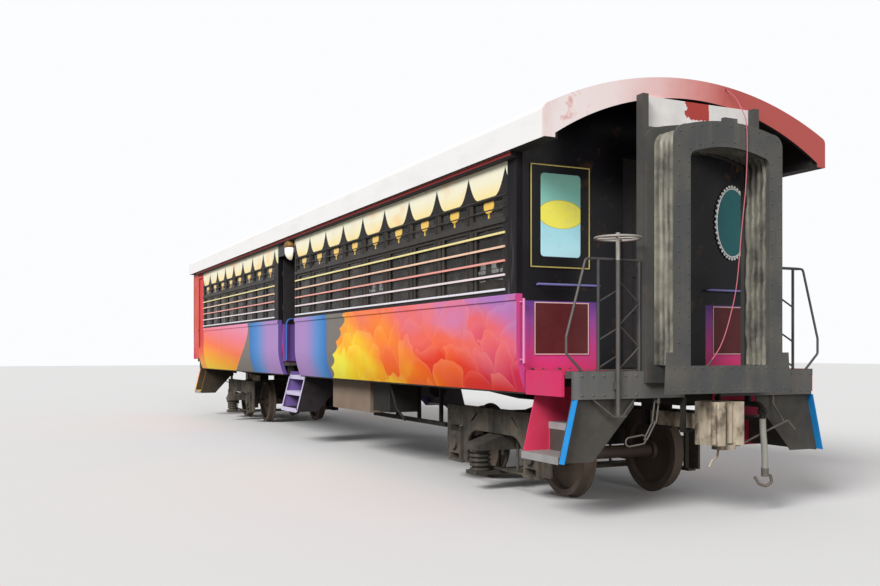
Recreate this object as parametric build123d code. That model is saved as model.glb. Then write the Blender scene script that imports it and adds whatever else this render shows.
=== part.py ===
from build123d import *
from math import asin, cos, pi, radians, sin, sqrt
import os

# Metre-gauge passenger coach with an open end platform, a middle entrance and a closed far vestibule.
# Millimetres. +X is the open platform end, -Y the side that faces the viewer, +Z up.
# The origin lies midway between the couplers' faces, at the lowest point of the wheel flanges.

os.makedirs("parts", exist_ok=True)

# Wheels and track
rail_gauge = 1000
flange_height = 25
wheel_tread_dia = 800
tyre_width = 125
flange_play = 35
axle_dia = 130
journal_dia = 100
journal_reach = 930
wheelbase = 1660
bogie_centre_x = 5595

# Body shell
headstock_face_x = 7785
platform_depth = 700
side_half_width = 1485
wall_thickness = 60
wall_bottom_z = 1075
tumblehome_top_z = 1500
tumblehome_inset = 90
wall_top_z = 3200
floor_top_z = 1275
floor_thickness = 60
end_wall_thickness = 50

# Windows: two runs of bays on each side, each bay with a lower light and a fanlight
bay_pitch = 722
post_width = 70
near_corner_width = 236
near_bays = 9
far_bays = 8
mid_post_width = 244
mid_door_width = 930
sill_z = 1975
transom_z = 2604
transom_height = 40
light_top_z = 2866
belt_z = 1884
belt_height = 66
belt_proud = 14
glass_thickness = 6

# Guard rails across the windows
guard_rail_zs = (1998, 2130, 2258, 2386, 2513)
guard_rail_height = 20
guard_rail_thickness = 10

# Roof
roof_apex_z = 3850
roof_half_width = 1575
roof_crown_radius = 3400
roof_corner_radius = 60
roof_thickness = 45
eave_bottom_z = wall_top_z
cornice_out_y = 1545
cornice_bottom_z = 3145
roof_end_setback = 125
fascia_thickness = 35
fascia_arch_z = 3672
fascia_arch_radius = 2700
fascia_foot_y = 1470

# End doors, vestibule doors and entrance doors
end_door_width = 680
end_door_height = 1950
door_thickness = 38
door_clearance = 6
door_foot_gap = 12

# Steps: height of each tread's top face, and of its outer edge from the centre line
tread_rise = 250
lowest_tread_z = 565
tread_going = 280
tread_thickness = 30
stringer_thickness = 12
step_outer_y = 1440
stringer_top_y = 1290

# Headstocks
headstock_half = 1332
headstock_z = 1040
headstock_height = 231
headstock_thickness = 60

# Gangway
gangway_reach = 350
gangway_opening_half = 432
gangway_opening_top_z = 3150
gangway_frame_width = 150
gangway_sill_z = 1320
foot_plate_half = 675
foot_plate_bottom_z = 1085
face_plate_thickness = 40

# Fits and hinges
journal_clearance = 0.4
pin_clearance = 0.4
guide_clearance = 0.3
hinge_pin_dia = 10
hinge_barrel_dia = 20
hinge_barrel_length = 60
hinge_lug_length = 16
hinge_standoff = 12

# Couplers
coupler_z = 825
coupler_head_width = 370
coupler_head_height = 370
coupler_pivot_setback = 620
shank_size = 130
coupler_pin_dia = 60

# Bogies
side_plate_y = 900
side_plate_thickness = 26
side_plate_half_length = 1110
side_plate_top_z = 835
leg_width = 500
leg_bottom_z = 235
arch_crown_z = 585
arch_corner_radius = 230
axlebox_width = 210
axlebox_height = 250
axlebox_depth = 190
axlebox_y = 850
bolster_width = 300
bolster_end_y = 1170
bolster_end_z = 480
spring_y = 1060
spring_coil_dia = 220
spring_wire_dia = 34
spring_bottom_z = 205
centre_plate_dia = 340
centre_plate_gap = 0.4

# Worked-out places
axle_z = flange_height + wheel_tread_dia / 2
near_wall_x = headstock_face_x - platform_depth
far_wall_x = -near_wall_x
inner_y = side_half_width - wall_thickness
floor_bottom_z = floor_top_z - floor_thickness
near_run = near_bays * bay_pitch - post_width
near_run_start = near_wall_x - near_corner_width
near_run_end = near_run_start - near_run
door_near_x = near_run_end - post_width
door_far_x = door_near_x - mid_door_width
far_run_start = door_far_x - mid_post_width
far_run = far_bays * bay_pitch - post_width
far_run_end = far_run_start - far_run
face_x = headstock_face_x + gangway_reach
side_radius = ((tumblehome_top_z - wall_bottom_z) ** 2 + tumblehome_inset ** 2) / (2 * tumblehome_inset)


def block(x0, x1, y0, y1, z0, z1):
    """A box between two corners."""
    lows = (min(x0, x1), min(y0, y1), min(z0, z1))
    sizes = (abs(x1 - x0), abs(y1 - y0), abs(z1 - z0))
    return Pos(*lows) * Box(*sizes, align=(Align.MIN, Align.MIN, Align.MIN))


def rod(start, end, dia):
    """A round bar from one point to another."""
    start, end = Vector(*start), Vector(*end)
    along = end - start
    plane = Plane(origin=start, z_dir=along)
    return extrude(plane * Circle(dia / 2), amount=along.length)


def bent_rod(points, dia, radius):
    """A round bar through several points, bent at each with one radius."""
    path = FilletPolyline(*points, radius=radius)
    return sweep((path ^ 0) * Circle(dia / 2), path=path)


def slab_x(outline, x0, x1):
    """An outline of (y, z) points, extruded along X between two places."""
    low, high = min(x0, x1), max(x0, x1)
    plane = Plane(origin=(low, 0, 0), x_dir=(0, 1, 0), z_dir=(1, 0, 0))
    return extrude(plane * make_face(Polyline(*outline, close=True)), amount=high - low)


def slab_y(outline, y0, y1):
    """An outline of (x, z) points, extruded along Y between two places."""
    low, high = min(y0, y1), max(y0, y1)
    plane = Plane(origin=(0, high, 0), x_dir=(1, 0, 0), z_dir=(0, -1, 0))
    return extrude(plane * make_face(Polyline(*outline, close=True)), amount=high - low)


def upright_hinge(x, y, heights, leaf_arm, wall_arm):
    """Barrels on a door's leaf and pins on its wall, about an upright axis, as (leaf part, wall part).

    Each arm is a footprint (x0, x1, y0, y1) that reaches from the axis into the leaf or the wall.
    """
    leaf_part, wall_part = Part(), Part()
    half = hinge_barrel_length / 2
    for z in heights:
        barrel = Pos(x, y, z) * Cylinder(hinge_barrel_dia / 2, hinge_barrel_length)
        barrel += block(*leaf_arm, z - half, z + half)
        leaf_part += barrel - Pos(x, y, z) * Cylinder(hinge_pin_dia / 2 + pin_clearance, hinge_barrel_length + 2)
        wall_part += Pos(x, y, z) * Cylinder(hinge_pin_dia / 2, hinge_barrel_length + 2 * hinge_lug_length)
        for side in (-1, 1):
            low = z + side * (half + pin_clearance)
            high = low + side * hinge_lug_length
            wall_part += Pos(x, y, (low + high) / 2) * Cylinder(hinge_barrel_dia / 2, hinge_lug_length)
            wall_part += block(*wall_arm, low, high)
    return leaf_part, wall_part


def both_sides(shape):
    """A shape and its mirror image on the other side of the coach."""
    return shape + mirror(shape, about=Plane.XZ)


def both_ends(shape):
    """A shape and its mirror image at the other end of the coach."""
    return shape + mirror(shape, about=Plane.YZ)


def save(shape, node):
    export_step(shape, f"parts/{node}.step")


# Body side
def side_inset(z, radius):
    """How far the tumblehome has drawn in at a height, for a face of that radius."""
    drop = max(0, tumblehome_top_z - z)
    return radius - sqrt(radius ** 2 - drop ** 2)


def side_face_profile(top_z, bottom_z, outer, inner):
    """The section of the body side, between two distances from the centre line at the belt."""
    outer_r = side_radius
    inner_r = side_radius - (outer - inner)
    half_z = (tumblehome_top_z + bottom_z) / 2
    outer_points = [(outer - side_inset(z, outer_r), z) for z in (bottom_z, half_z)]
    inner_points = [(inner - side_inset(z, inner_r), z) for z in (half_z, bottom_z)]
    edges = [
        ThreePointArc(outer_points[0], outer_points[1], (outer, tumblehome_top_z)),
        Line((outer, tumblehome_top_z), (outer, top_z)),
        Line((outer, top_z), (inner, top_z)),
        Line((inner, top_z), (inner, tumblehome_top_z)),
        ThreePointArc((inner, tumblehome_top_z), inner_points[0], inner_points[1]),
        Line(inner_points[1], outer_points[0]),
    ]
    return make_face(edges)


def side_wall(x0, x1, bays_start, bays):
    """One stretch of body side from x0 down to x1, with its windows, on the +Y side."""
    section = Plane(origin=(x1, 0, 0), x_dir=(0, 1, 0), z_dir=(1, 0, 0))
    profile = side_face_profile(wall_top_z, wall_bottom_z, side_half_width, inner_y)
    wall = extrude(section * profile, amount=x0 - x1)
    belt_top = belt_z + belt_height
    proud_y = side_half_width + belt_proud
    belt = [(side_half_width - 5, belt_z), (proud_y, belt_z + 10), (proud_y, belt_top - 10)]
    belt += [(side_half_width - 5, belt_top)]
    wall += slab_x(belt, x1, x0)
    for bay in range(bays):
        high = bays_start - bay * bay_pitch
        low = high - (bay_pitch - post_width)
        for z0, z1 in ((sill_z, transom_z), (transom_z + transom_height, light_top_z)):
            wall -= block(low, high, inner_y - 10, side_half_width + 40, z0, z1)
    return wall


near_side = side_wall(near_wall_x, door_near_x, near_run_start, near_bays)
far_side = side_wall(door_far_x, far_wall_x, far_run_start, far_bays)

# A shallow red panel stands in the far side where the last window would be
recess_depth = 22
recess_margin = 45
recess_z = (1530, 3060)
far_side -= block(far_wall_x + recess_margin, far_run_end - recess_margin,
                  side_half_width - recess_depth, side_half_width + 40, *recess_z)
save(near_side, "side_wall_near_right")
save(mirror(near_side, about=Plane.XZ), "side_wall_near_left")
save(far_side, "side_wall_far_right")
save(mirror(far_side, about=Plane.XZ), "side_wall_far_left")

# A header over each middle entrance, with a round lamp on its outer face
header_bottom_z = 2960
entrance_lamp_dia = 170
entrance_lamp_reach = 70
entrance_header = block(door_far_x, door_near_x, inner_y, side_half_width, header_bottom_z, wall_top_z)
entrance_lamp = Rot(X=-90) * Cylinder(entrance_lamp_dia / 2, entrance_lamp_reach,
                                      align=(Align.CENTER, Align.CENTER, Align.MIN))
entrance_lamp = fillet(entrance_lamp.edges().sort_by(Axis.Y)[-1:], 48)
entrance_header += Pos(155, side_half_width, header_bottom_z + entrance_lamp_dia / 2 - 10) * entrance_lamp
headers = [entrance_header, mirror(entrance_header, about=Plane.XZ)]
save(Compound(children=[h.solid() for h in headers]), "entrance_headers")

# Glass, one pane to each light, let into the middle of the wall
pane_y = inner_y + wall_thickness / 2
pane_gap = 1
panes = []
for start, bays in ((near_run_start, near_bays), (far_run_start, far_bays)):
    for bay in range(bays):
        high = start - bay * bay_pitch - pane_gap / 4
        low = high - (bay_pitch - post_width) + pane_gap / 2
        for z0, z1 in ((sill_z, transom_z), (transom_z + transom_height, light_top_z)):
            pane = block(low, high, pane_y - glass_thickness / 2, pane_y + glass_thickness / 2,
                         z0, z1 - pane_gap / 2)
            panes += [pane, mirror(pane, about=Plane.XZ)]
save(Compound(children=[p.solid() for p in panes]), "window_glass")

# Guard rails: flat bars screwed across the window posts
rails = []
for x0, x1 in ((near_run_end - post_width / 2, near_run_start + post_width / 2),
               (far_run_end - post_width / 2, far_run_start + post_width / 2)):
    for z in guard_rail_zs:
        bar = block(x0, x1, side_half_width, side_half_width + guard_rail_thickness,
                    z - guard_rail_height / 2, z + guard_rail_height / 2)
        rails += [bar, mirror(bar, about=Plane.XZ)]
save(Compound(children=[r.solid() for r in rails]), "guard_rails")


# Roof
def roof_outline(drop):
    """The roof's crown and rounded corners, moved in by a drop, as edges from -Y to +Y and the last point."""
    crown_r = roof_crown_radius - drop
    half = roof_half_width - drop
    corner_r = max(roof_corner_radius - drop, 10)
    centre_z = roof_apex_z - roof_crown_radius
    turn = asin((half - corner_r) / (crown_r - corner_r))
    mid_turn = (turn + pi / 2) / 2
    corner_z = centre_z + (crown_r - corner_r) * cos(turn)
    start = (crown_r * sin(turn), centre_z + crown_r * cos(turn))
    middle = (half - corner_r + corner_r * sin(mid_turn), corner_z + corner_r * cos(mid_turn))
    end = (half, corner_z)
    crown = ThreePointArc((-start[0], start[1]), (0, centre_z + crown_r), start)
    right = ThreePointArc(start, middle, end)
    left = ThreePointArc((-end[0], end[1]), (-middle[0], middle[1]), (-start[0], start[1]))
    return left, crown, right, end


def roof_section():
    """The roof's section: a thin crown between two edge beams that lie on the walls."""
    left, crown, right, outer_end = roof_outline(0)
    in_left, in_crown, in_right, inner_end = roof_outline(roof_thickness)
    foot_z = eave_bottom_z - 100
    shell = make_face([
        left, crown, right,
        Line(outer_end, (roof_half_width, eave_bottom_z)),
        Line((roof_half_width, eave_bottom_z), (-roof_half_width, eave_bottom_z)),
        Line((-roof_half_width, eave_bottom_z), (-outer_end[0], outer_end[1])),
    ])
    hollow = make_face([
        in_left, in_crown, in_right,
        Line(inner_end, (inner_end[0], foot_z)),
        Line((inner_end[0], foot_z), (-inner_end[0], foot_z)),
        Line((-inner_end[0], foot_z), (-inner_end[0], inner_end[1])),
    ])
    return shell - (hollow & (Pos(0, roof_apex_z) * Rectangle(2 * inner_y, 4000)))


roof_near_x = headstock_face_x - roof_end_setback

# The red pull cord that hangs from the roof's end over the near gangway's face
cord_dia = 8
cord_x = face_x + 16
cord_route = [
    (roof_near_x + fascia_thickness + 12, 340, 3798), (7778, 322, 3752), (7850, 298, 3703), (7925, 264, 3643),
    (8000, 226, 3575), (8072, 190, 3505), (8130, 165, 3434), (cord_x + 1, 160, 3350), (cord_x + 2, 163, 3245),
    (cord_x, 164, 3130), (cord_x + 1, 159, 3015), (cord_x, 152, 2900), (cord_x + 1, 142, 2785),
    (cord_x, 128, 2670), (cord_x + 1, 112, 2555), (cord_x, 98, 2440), (cord_x + 1, 86, 2325),
    (cord_x, 74, 2210), (cord_x + 1, 61, 2095), (cord_x, 44, 1980), (cord_x + 1, 18, 1868),
    (cord_x, -16, 1758), (cord_x + 1, -52, 1650), (cord_x, -94, 1546), (cord_x - 3, -146, 1446), (8126, -196, 1372),
]


def cord_knob(end, before, length):
    """A knob that runs on from a cord's end, into the piece that holds it."""
    onward = (Vector(*end) - Vector(*before)).normalized()
    return rod(end, tuple(Vector(*end) + onward * length), cord_dia + 6)


roof_plane = Plane(origin=(-roof_near_x, 0, 0), x_dir=(0, 1, 0), z_dir=(1, 0, 0))
roof = extrude(roof_plane * roof_section(), amount=2 * roof_near_x)


def fascia():
    """The board that closes the roof's end above the platform, with an arched lower edge."""
    left, crown, right, outer_end = roof_outline(0)
    arch_end_z = fascia_arch_z - fascia_arch_radius + sqrt(fascia_arch_radius ** 2 - fascia_foot_y ** 2)
    arch = ThreePointArc((fascia_foot_y, arch_end_z), (0, fascia_arch_z), (-fascia_foot_y, arch_end_z))
    ring = make_face([
        left, crown, right,
        Line(outer_end, (roof_half_width, eave_bottom_z)),
        Line((roof_half_width, eave_bottom_z), (fascia_foot_y, eave_bottom_z)),
        Line((fascia_foot_y, eave_bottom_z), (fascia_foot_y, arch_end_z)),
        arch,
        Line((-fascia_foot_y, arch_end_z), (-fascia_foot_y, eave_bottom_z)),
        Line((-fascia_foot_y, eave_bottom_z), (-roof_half_width, eave_bottom_z)),
        Line((-roof_half_width, eave_bottom_z), (-outer_end[0], outer_end[1])),
    ])
    plane = Plane(origin=(roof_near_x, 0, 0), x_dir=(0, 1, 0), z_dir=(1, 0, 0))
    return extrude(plane * ring, amount=fascia_thickness)


roof += both_ends(fascia())
roof += both_sides(block(-near_wall_x, near_wall_x, side_half_width, cornice_out_y, cornice_bottom_z, eave_bottom_z))
roof += cord_knob(cord_route[0], cord_route[1], 22)
save(roof, "roof")


# Transverse walls
def wall_section(top_drop):
    """The full section of the coach inside its walls and roof, as a face of (y, z)."""
    left, crown, right, end = roof_outline(roof_thickness + top_drop)
    half = inner_y - 1
    arch = make_face([
        left, crown, right,
        Line(end, (end[0], floor_top_z)),
        Line((end[0], floor_top_z), (-end[0], floor_top_z)),
        Line((-end[0], floor_top_z), (-end[0], end[1])),
    ])
    foot = side_inset(floor_top_z, side_radius - wall_thickness)
    sides = make_face(Polyline(
        (-half + foot, floor_top_z), (half - foot, floor_top_z), (half, tumblehome_top_z),
        (half, roof_apex_z), (-half, roof_apex_z), (-half, tumblehome_top_z), close=True))
    return arch & sides


def cross_wall(x0, x1, door_width, door_top_z):
    """A wall across the coach with a doorway in the middle."""
    low, high = min(x0, x1), max(x0, x1)
    plane = Plane(origin=(low, 0, 0), x_dir=(0, 1, 0), z_dir=(1, 0, 0))
    wall = extrude(plane * wall_section(1), amount=high - low)
    return wall - block(low - 10, high + 10, -door_width / 2, door_width / 2, floor_top_z - 10, door_top_z)


door_top_z = floor_top_z + door_foot_gap + end_door_height + door_clearance
doorway_width = end_door_width + 2 * door_clearance
door_hinge_heights = (1560, 2250, 2940)


# End doors, each hinged on the saloon's side of its end wall
def end_door():
    """An end door with two sunk panels below and a glazed opening above, shut in its doorway."""
    bottom = floor_top_z + door_foot_gap
    x0 = near_wall_x - (end_wall_thickness + door_thickness) / 2
    x1 = x0 + door_thickness
    half = end_door_width / 2
    door = block(x0, x1, -half, half, bottom, bottom + end_door_height)
    stile = 110
    panel_depth = 10
    for z0, z1 in ((120, 520), (600, 850)):
        for x in ((x0 - 1, x0 + panel_depth), (x1 - panel_depth, x1 + 1)):
            door -= block(*x, -half + stile, half - stile, bottom + z0, bottom + z1)
    light = (bottom + 960, bottom + end_door_height - 130)
    door -= block(x0 - 1, x1 + 1, -half + stile, half - stile, *light)
    door += block(x0 + 16, x1 - 16, -half + stile - 5, half - stile + 5, light[0] - 5, light[1] + 5)
    return door, x0


near_end_door, end_door_face_x = end_door()
end_hinge_x = near_wall_x - end_wall_thickness - hinge_standoff
end_hinge_y = (end_door_width + door_clearance) / 2
leaf_edge_y = end_door_width / 2
end_leaf_part, end_wall_part = upright_hinge(
    end_hinge_x, end_hinge_y, door_hinge_heights,
    (end_hinge_x, end_door_face_x + 2, leaf_edge_y - 8, leaf_edge_y),
    (end_hinge_x - 8, near_wall_x - end_wall_thickness + 1, doorway_width / 2 + 1, doorway_width / 2 + 22))
near_end_door += end_leaf_part
save(near_end_door, "end_door_near")
save(mirror(near_end_door, about=Plane.YZ), "end_door_far")

end_wall_near = cross_wall(near_wall_x - end_wall_thickness, near_wall_x, doorway_width, door_top_z) + end_wall_part
save(end_wall_near, "end_wall_near")

# Panels on the platform side of that wall: a framed sign board, an oval plate and a low panel on each side
panel_thickness = 6
sign = block(near_wall_x, near_wall_x + 2 * panel_thickness, -1348, -722, 2187, 3109)
sign -= block(near_wall_x + panel_thickness, near_wall_x + 3 * panel_thickness, -1243, -822, 2286, 3032)
oval_plane = Plane(origin=(near_wall_x, 963, 2710), x_dir=(0, 1, 0), z_dir=(1, 0, 0))
oval = extrude(oval_plane * Ellipse(205, 346), amount=2 * panel_thickness)
low_panel = block(near_wall_x, near_wall_x + panel_thickness, 727, 1304, 1409, 1880)
panels = [sign, oval, low_panel, mirror(low_panel, about=Plane.XZ)]
save(Compound(children=[p.solid() for p in panels]), "end_panels")

# Far vestibule doors, one on each side, hinged on the end wall and opening inwards
outer_bulkhead_x = -roof_near_x
vest_hinge_x = far_wall_x - hinge_standoff
vest_leaf_inner_y = side_half_width - 42
vest_hinge_y = vest_leaf_inner_y - 28
vest_door_x = (outer_bulkhead_x + end_wall_thickness + 16, vest_hinge_x - 3)
vest_plane = Plane(origin=(vest_door_x[0], 0, 0), x_dir=(0, 1, 0), z_dir=(1, 0, 0))
vest_leaf = extrude(
    vest_plane * side_face_profile(wall_top_z - 15, floor_top_z + door_foot_gap, side_half_width - 2, vest_leaf_inner_y),
    amount=vest_door_x[1] - vest_door_x[0])
vest_leaf_part, vest_wall_part = upright_hinge(
    vest_hinge_x, vest_hinge_y, (1640, 2300, 2960),
    (vest_door_x[1] - 8, vest_door_x[1], vest_hinge_y, vest_leaf_inner_y + 2),
    (vest_hinge_x, far_wall_x + 1, vest_hinge_y - 8, vest_hinge_y + 7))
vest_leaf += vest_leaf_part
save(vest_leaf, "vestibule_door_right")
save(mirror(vest_leaf, about=Plane.XZ), "vestibule_door_left")
save(mirror(end_wall_near, about=Plane.YZ) + both_sides(vest_wall_part), "end_wall_far")

# Middle entrance doors, folded back against the far partition as they stand in service
mid_leaf_width = mid_door_width - 35
mid_hinge_x = door_far_x + hinge_standoff
mid_hinge_y = side_half_width - 72
mid_leaf_x = (mid_hinge_x + hinge_standoff, mid_hinge_x + hinge_standoff + door_thickness)
mid_leaf_edge_y = mid_hinge_y - 4
mid_leaf = block(*mid_leaf_x, mid_leaf_edge_y - mid_leaf_width, mid_leaf_edge_y,
                 floor_top_z + door_foot_gap, header_bottom_z - 20)
mid_leaf_part, mid_wall_part = upright_hinge(
    mid_hinge_x, mid_hinge_y, (1600, 2150, 2700),
    (mid_hinge_x, mid_leaf_x[0] + 1, mid_leaf_edge_y - 6, mid_leaf_edge_y),
    (door_far_x - 1, mid_hinge_x, mid_hinge_y - 8, mid_hinge_y + 8))
mid_leaf += mid_leaf_part
save(mid_leaf, "mid_door_right")
save(mirror(mid_leaf, about=Plane.XZ), "mid_door_left")

# Vestibule partitions on each side of the middle entrance, with a doorway each
partition_thickness = 40
aisle_doorway = 700
aisle_top_z = 3200
near_partition = cross_wall(door_near_x + partition_thickness, door_near_x, aisle_doorway, aisle_top_z)
far_partition = cross_wall(door_far_x, door_far_x - partition_thickness, aisle_doorway, aisle_top_z)
far_partition += both_sides(mid_wall_part)
save(Compound(children=[near_partition.solid(), far_partition.solid()]), "vestibule_partitions")

# The outer bulkhead that closes the far vestibule
bulkhead = cross_wall(outer_bulkhead_x + end_wall_thickness, outer_bulkhead_x, doorway_width, door_top_z)
corner_post = block(outer_bulkhead_x, outer_bulkhead_x + end_wall_thickness,
                    inner_y - 10, side_half_width, floor_top_z + 1, wall_top_z)
save(bulkhead + both_sides(corner_post), "far_bulkhead")

# Floor with stair wells for the middle entrance
floor_half = 1378
well_inner_y = 880
mid_well_margin = 40
floor_length = 2 * (headstock_face_x - headstock_thickness)
floor = block(-floor_length / 2, floor_length / 2, -floor_half, floor_half, floor_bottom_z, floor_top_z)
floor -= both_sides(block(door_near_x - mid_well_margin, door_far_x + mid_well_margin,
                          well_inner_y, floor_half + 20, floor_bottom_z - 10, floor_top_z + 10))
near_well_x = (near_wall_x + 25, headstock_face_x - headstock_thickness - 25)
floor -= both_sides(block(*near_well_x, well_inner_y, floor_half + 20, floor_bottom_z - 10, floor_top_z + 10))

# Platform flaps: the hinged floor over each open platform's steps, with the skirt on its outer edge
flap_x = (near_well_x[0] + 7, near_well_x[1] - 7)
flap_y = (well_inner_y + 7, side_half_width - 75)
flap_thickness = 30
skirt_bottom_z = 1062
flap_pin_dia = 8
flap_barrel_dia = 16
flap_hinge_x = near_well_x[0] + 3.5
flap_hinge_z = floor_top_z + flap_barrel_dia / 2 + 2
flap = block(*flap_x, *flap_y, floor_top_z - flap_thickness, floor_top_z)
flap += block(*flap_x, flap_y[1] - 30, flap_y[1], skirt_bottom_z, floor_top_z)
flap_lugs = []
for y0 in (960, 1240):
    y1 = y0 + 80
    flap += rod((flap_hinge_x, y0, flap_hinge_z), (flap_hinge_x, y1, flap_hinge_z), flap_barrel_dia)
    flap += block(flap_hinge_x, flap_x[0] + 36, y0, y1, floor_top_z, floor_top_z + 4)
    flap -= rod((flap_hinge_x, y0 - 1, flap_hinge_z), (flap_hinge_x, y1 + 1, flap_hinge_z),
                flap_pin_dia + 2 * pin_clearance)
    lug = rod((flap_hinge_x, y0 - 20, flap_hinge_z), (flap_hinge_x, y1 + 20, flap_hinge_z), flap_pin_dia)
    for low in (y0 - 20, y1 + pin_clearance):
        high = low + 20 - pin_clearance
        lug += rod((flap_hinge_x, low, flap_hinge_z), (flap_hinge_x, high, flap_hinge_z), flap_barrel_dia)
        lug += block(near_well_x[0] - 15, flap_hinge_x, low, high, floor_top_z, flap_hinge_z + flap_barrel_dia / 2)
    flap_lugs += [lug, mirror(lug, about=Plane.XZ)]
save(Compound(children=[piece.solid() for piece in flap_lugs]), "flap_hinges")
save(flap, "platform_flap_right")
save(mirror(flap, about=Plane.XZ), "platform_flap_left")

# The ledge that each flap's free edge lies on
ledge_top_z = floor_top_z - flap_thickness - guide_clearance
floor += both_sides(block(near_well_x[1] - 35, near_well_x[1] + 2, 900, 1340, ledge_top_z - 16, ledge_top_z))
save(floor, "floor")

# Underframe: sole bars, centre sill, cross bearers and body bolsters
sole_bar_in = 1225
sole_bar_out = 1322
sole_flange_out = 1396
sole_flange = 15
centre_sill_half = 160
centre_sill_z = 960
bearer_thickness = 90
bearer_z = 1085
bearer_xs = (-6600, -4300, -2900, -1500, 0, 1500, 2900, 4300, 6600)
bolster_beam_width = 360
bolster_beam_z = 930
inner_x = headstock_face_x - headstock_thickness


def sole_bar(x0, x1):
    """A stretch of sole bar with the flange that the body side stands on."""
    web = block(x0, x1, sole_bar_in, sole_bar_out, wall_bottom_z, floor_bottom_z)
    flange = block(x0, x1, sole_bar_in, sole_flange_out, wall_bottom_z - sole_flange, wall_bottom_z)
    return web + flange


well_gap = 2
mid_gap = (door_near_x + well_gap, door_far_x - well_gap)
underframe = both_sides(sole_bar(near_wall_x, mid_gap[0]) + sole_bar(mid_gap[1], far_wall_x))
underframe += block(-inner_x, inner_x, -centre_sill_half, centre_sill_half, centre_sill_z, floor_bottom_z)
for x in bearer_xs:
    half = bearer_thickness / 2
    underframe += block(x - half, x + half, -sole_bar_in, sole_bar_in, bearer_z, floor_bottom_z)
for x in (-bogie_centre_x, bogie_centre_x):
    half = bolster_beam_width / 2
    beam = [(-sole_bar_out, 1120), (-500, bolster_beam_z), (500, bolster_beam_z), (sole_bar_out, 1120)]
    beam += [(sole_bar_out, floor_bottom_z), (-sole_bar_out, floor_bottom_z)]
    underframe += slab_x(beam, x - half, x + half)
    underframe += Pos(x, 0, side_plate_top_z + 30 + centre_plate_gap) * Cylinder(
        centre_plate_dia / 2, 140, align=(Align.CENTER, Align.CENTER, Align.MIN))
inner_bar_y = 700
inner_bar_z = 1120
underframe += both_sides(block(-inner_x, inner_x, inner_bar_y, inner_bar_y + 80, inner_bar_z, floor_bottom_z))

save(underframe, "underframe")

# Headstocks with turned-back ends
corner_radius = 60
beam = block(headstock_face_x - headstock_thickness, headstock_face_x, -headstock_half, headstock_half,
             headstock_z, headstock_z + headstock_height)
vertical_edges = beam.edges().filter_by(Axis.Z).sort_by(Axis.X)[-2:]
beam = fillet(vertical_edges, corner_radius - 5)
slot_half = 200
beam -= block(headstock_face_x - 200, headstock_face_x + 20, -slot_half, slot_half,
              headstock_z - 10, headstock_z + 30)
near_beam = beam
far_beam = mirror(beam, about=Plane.YZ)
save(Compound(children=[near_beam.solid(), far_beam.solid()]), "headstocks")


# Steps
def flight(x0, x1, treads, top_z, stringer_bottom_z, flange):
    """A flight of steps on the +Y side between two stringers, the one at +X with a flange on its outer edge."""
    low, high = min(x0, x1), max(x0, x1)
    inner_top = well_inner_y - 190
    outline = [(stringer_top_y, top_z), (inner_top, top_z), (inner_top, top_z - 150),
               (step_outer_y - 330, stringer_bottom_z), (step_outer_y, stringer_bottom_z)]
    steps = slab_x(outline, low, low + stringer_thickness)
    steps += slab_x(outline, high - stringer_thickness, high)
    if flange:
        slope = (step_outer_y - stringer_top_y) / (top_z - stringer_bottom_z)
        flange_top_z = headstock_z - 2
        flange_top_y = stringer_top_y + slope * (top_z - flange_top_z)
        edge = [(flange_top_y, flange_top_z), (flange_top_y + 8, flange_top_z)]
        edge += [(step_outer_y + 8, stringer_bottom_z), (step_outer_y, stringer_bottom_z)]
        steps += slab_x(edge, high - stringer_thickness, high + flange)
    for index in range(treads):
        z = lowest_tread_z + index * tread_rise
        outer = step_outer_y - index * tread_going + 5
        steps += block(low, high, outer - tread_going - 12, outer, z - tread_thickness, z)
        if index < treads - 1:
            steps += block(low, high, outer - tread_going - 12, outer - tread_going, z - 5, z + tread_rise - 5)
    return steps


step_bottom_z = 514
near_flight = flight(near_wall_x + 15, headstock_face_x - headstock_thickness - 10, 2,
                     inner_bar_z, step_bottom_z, 72)
save(Compound(children=[near_flight.solid(), mirror(near_flight, about=Plane.XZ).solid()]), "steps_near")
mid_flight = flight(door_near_x - mid_well_margin - 2, door_far_x + mid_well_margin + 2, 3,
                    inner_bar_z, step_bottom_z, 0)
save(Compound(children=[mid_flight.solid(), mirror(mid_flight, about=Plane.XZ).solid()]), "steps_mid")
far_flight = mirror(near_flight, about=Plane.YZ)
save(Compound(children=[far_flight.solid(), mirror(far_flight, about=Plane.XZ).solid()]), "steps_far")


# Platform railings and grab rods at the open end
rail_x = headstock_face_x - 25
railing_top_z = 2210
beam_top_z = headstock_z + headstock_height
post_ys = (1090, 880, 670)
post_dia = 26
brace_dia = 16


def railing():
    """Posts, top rail and zigzag braces on the +Y side of the open platform."""
    frame = rod((rail_x, 1160, railing_top_z), (rail_x, 652, railing_top_z), post_dia)
    for y in post_ys:
        frame += rod((rail_x, y, beam_top_z), (rail_x, y, railing_top_z), post_dia)
    nodes = 5
    spacing = 185
    first_z = 2030
    for index in range(nodes - 1):
        ya, yb = (post_ys[1], post_ys[2]) if index % 2 == 0 else (post_ys[2], post_ys[1])
        z = first_z - index * spacing
        frame += rod((rail_x, ya, z), (rail_x, yb, z - spacing), brace_dia)
    for z in (1850, 1530, 1300):
        frame += rod((rail_x, post_ys[0], z), (rail_x, post_ys[1], z + 110), brace_dia)
    return frame


right_railing = railing()
save(Compound(children=[right_railing.solid(), mirror(right_railing, about=Plane.XZ).solid()]), "platform_railings")

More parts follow.
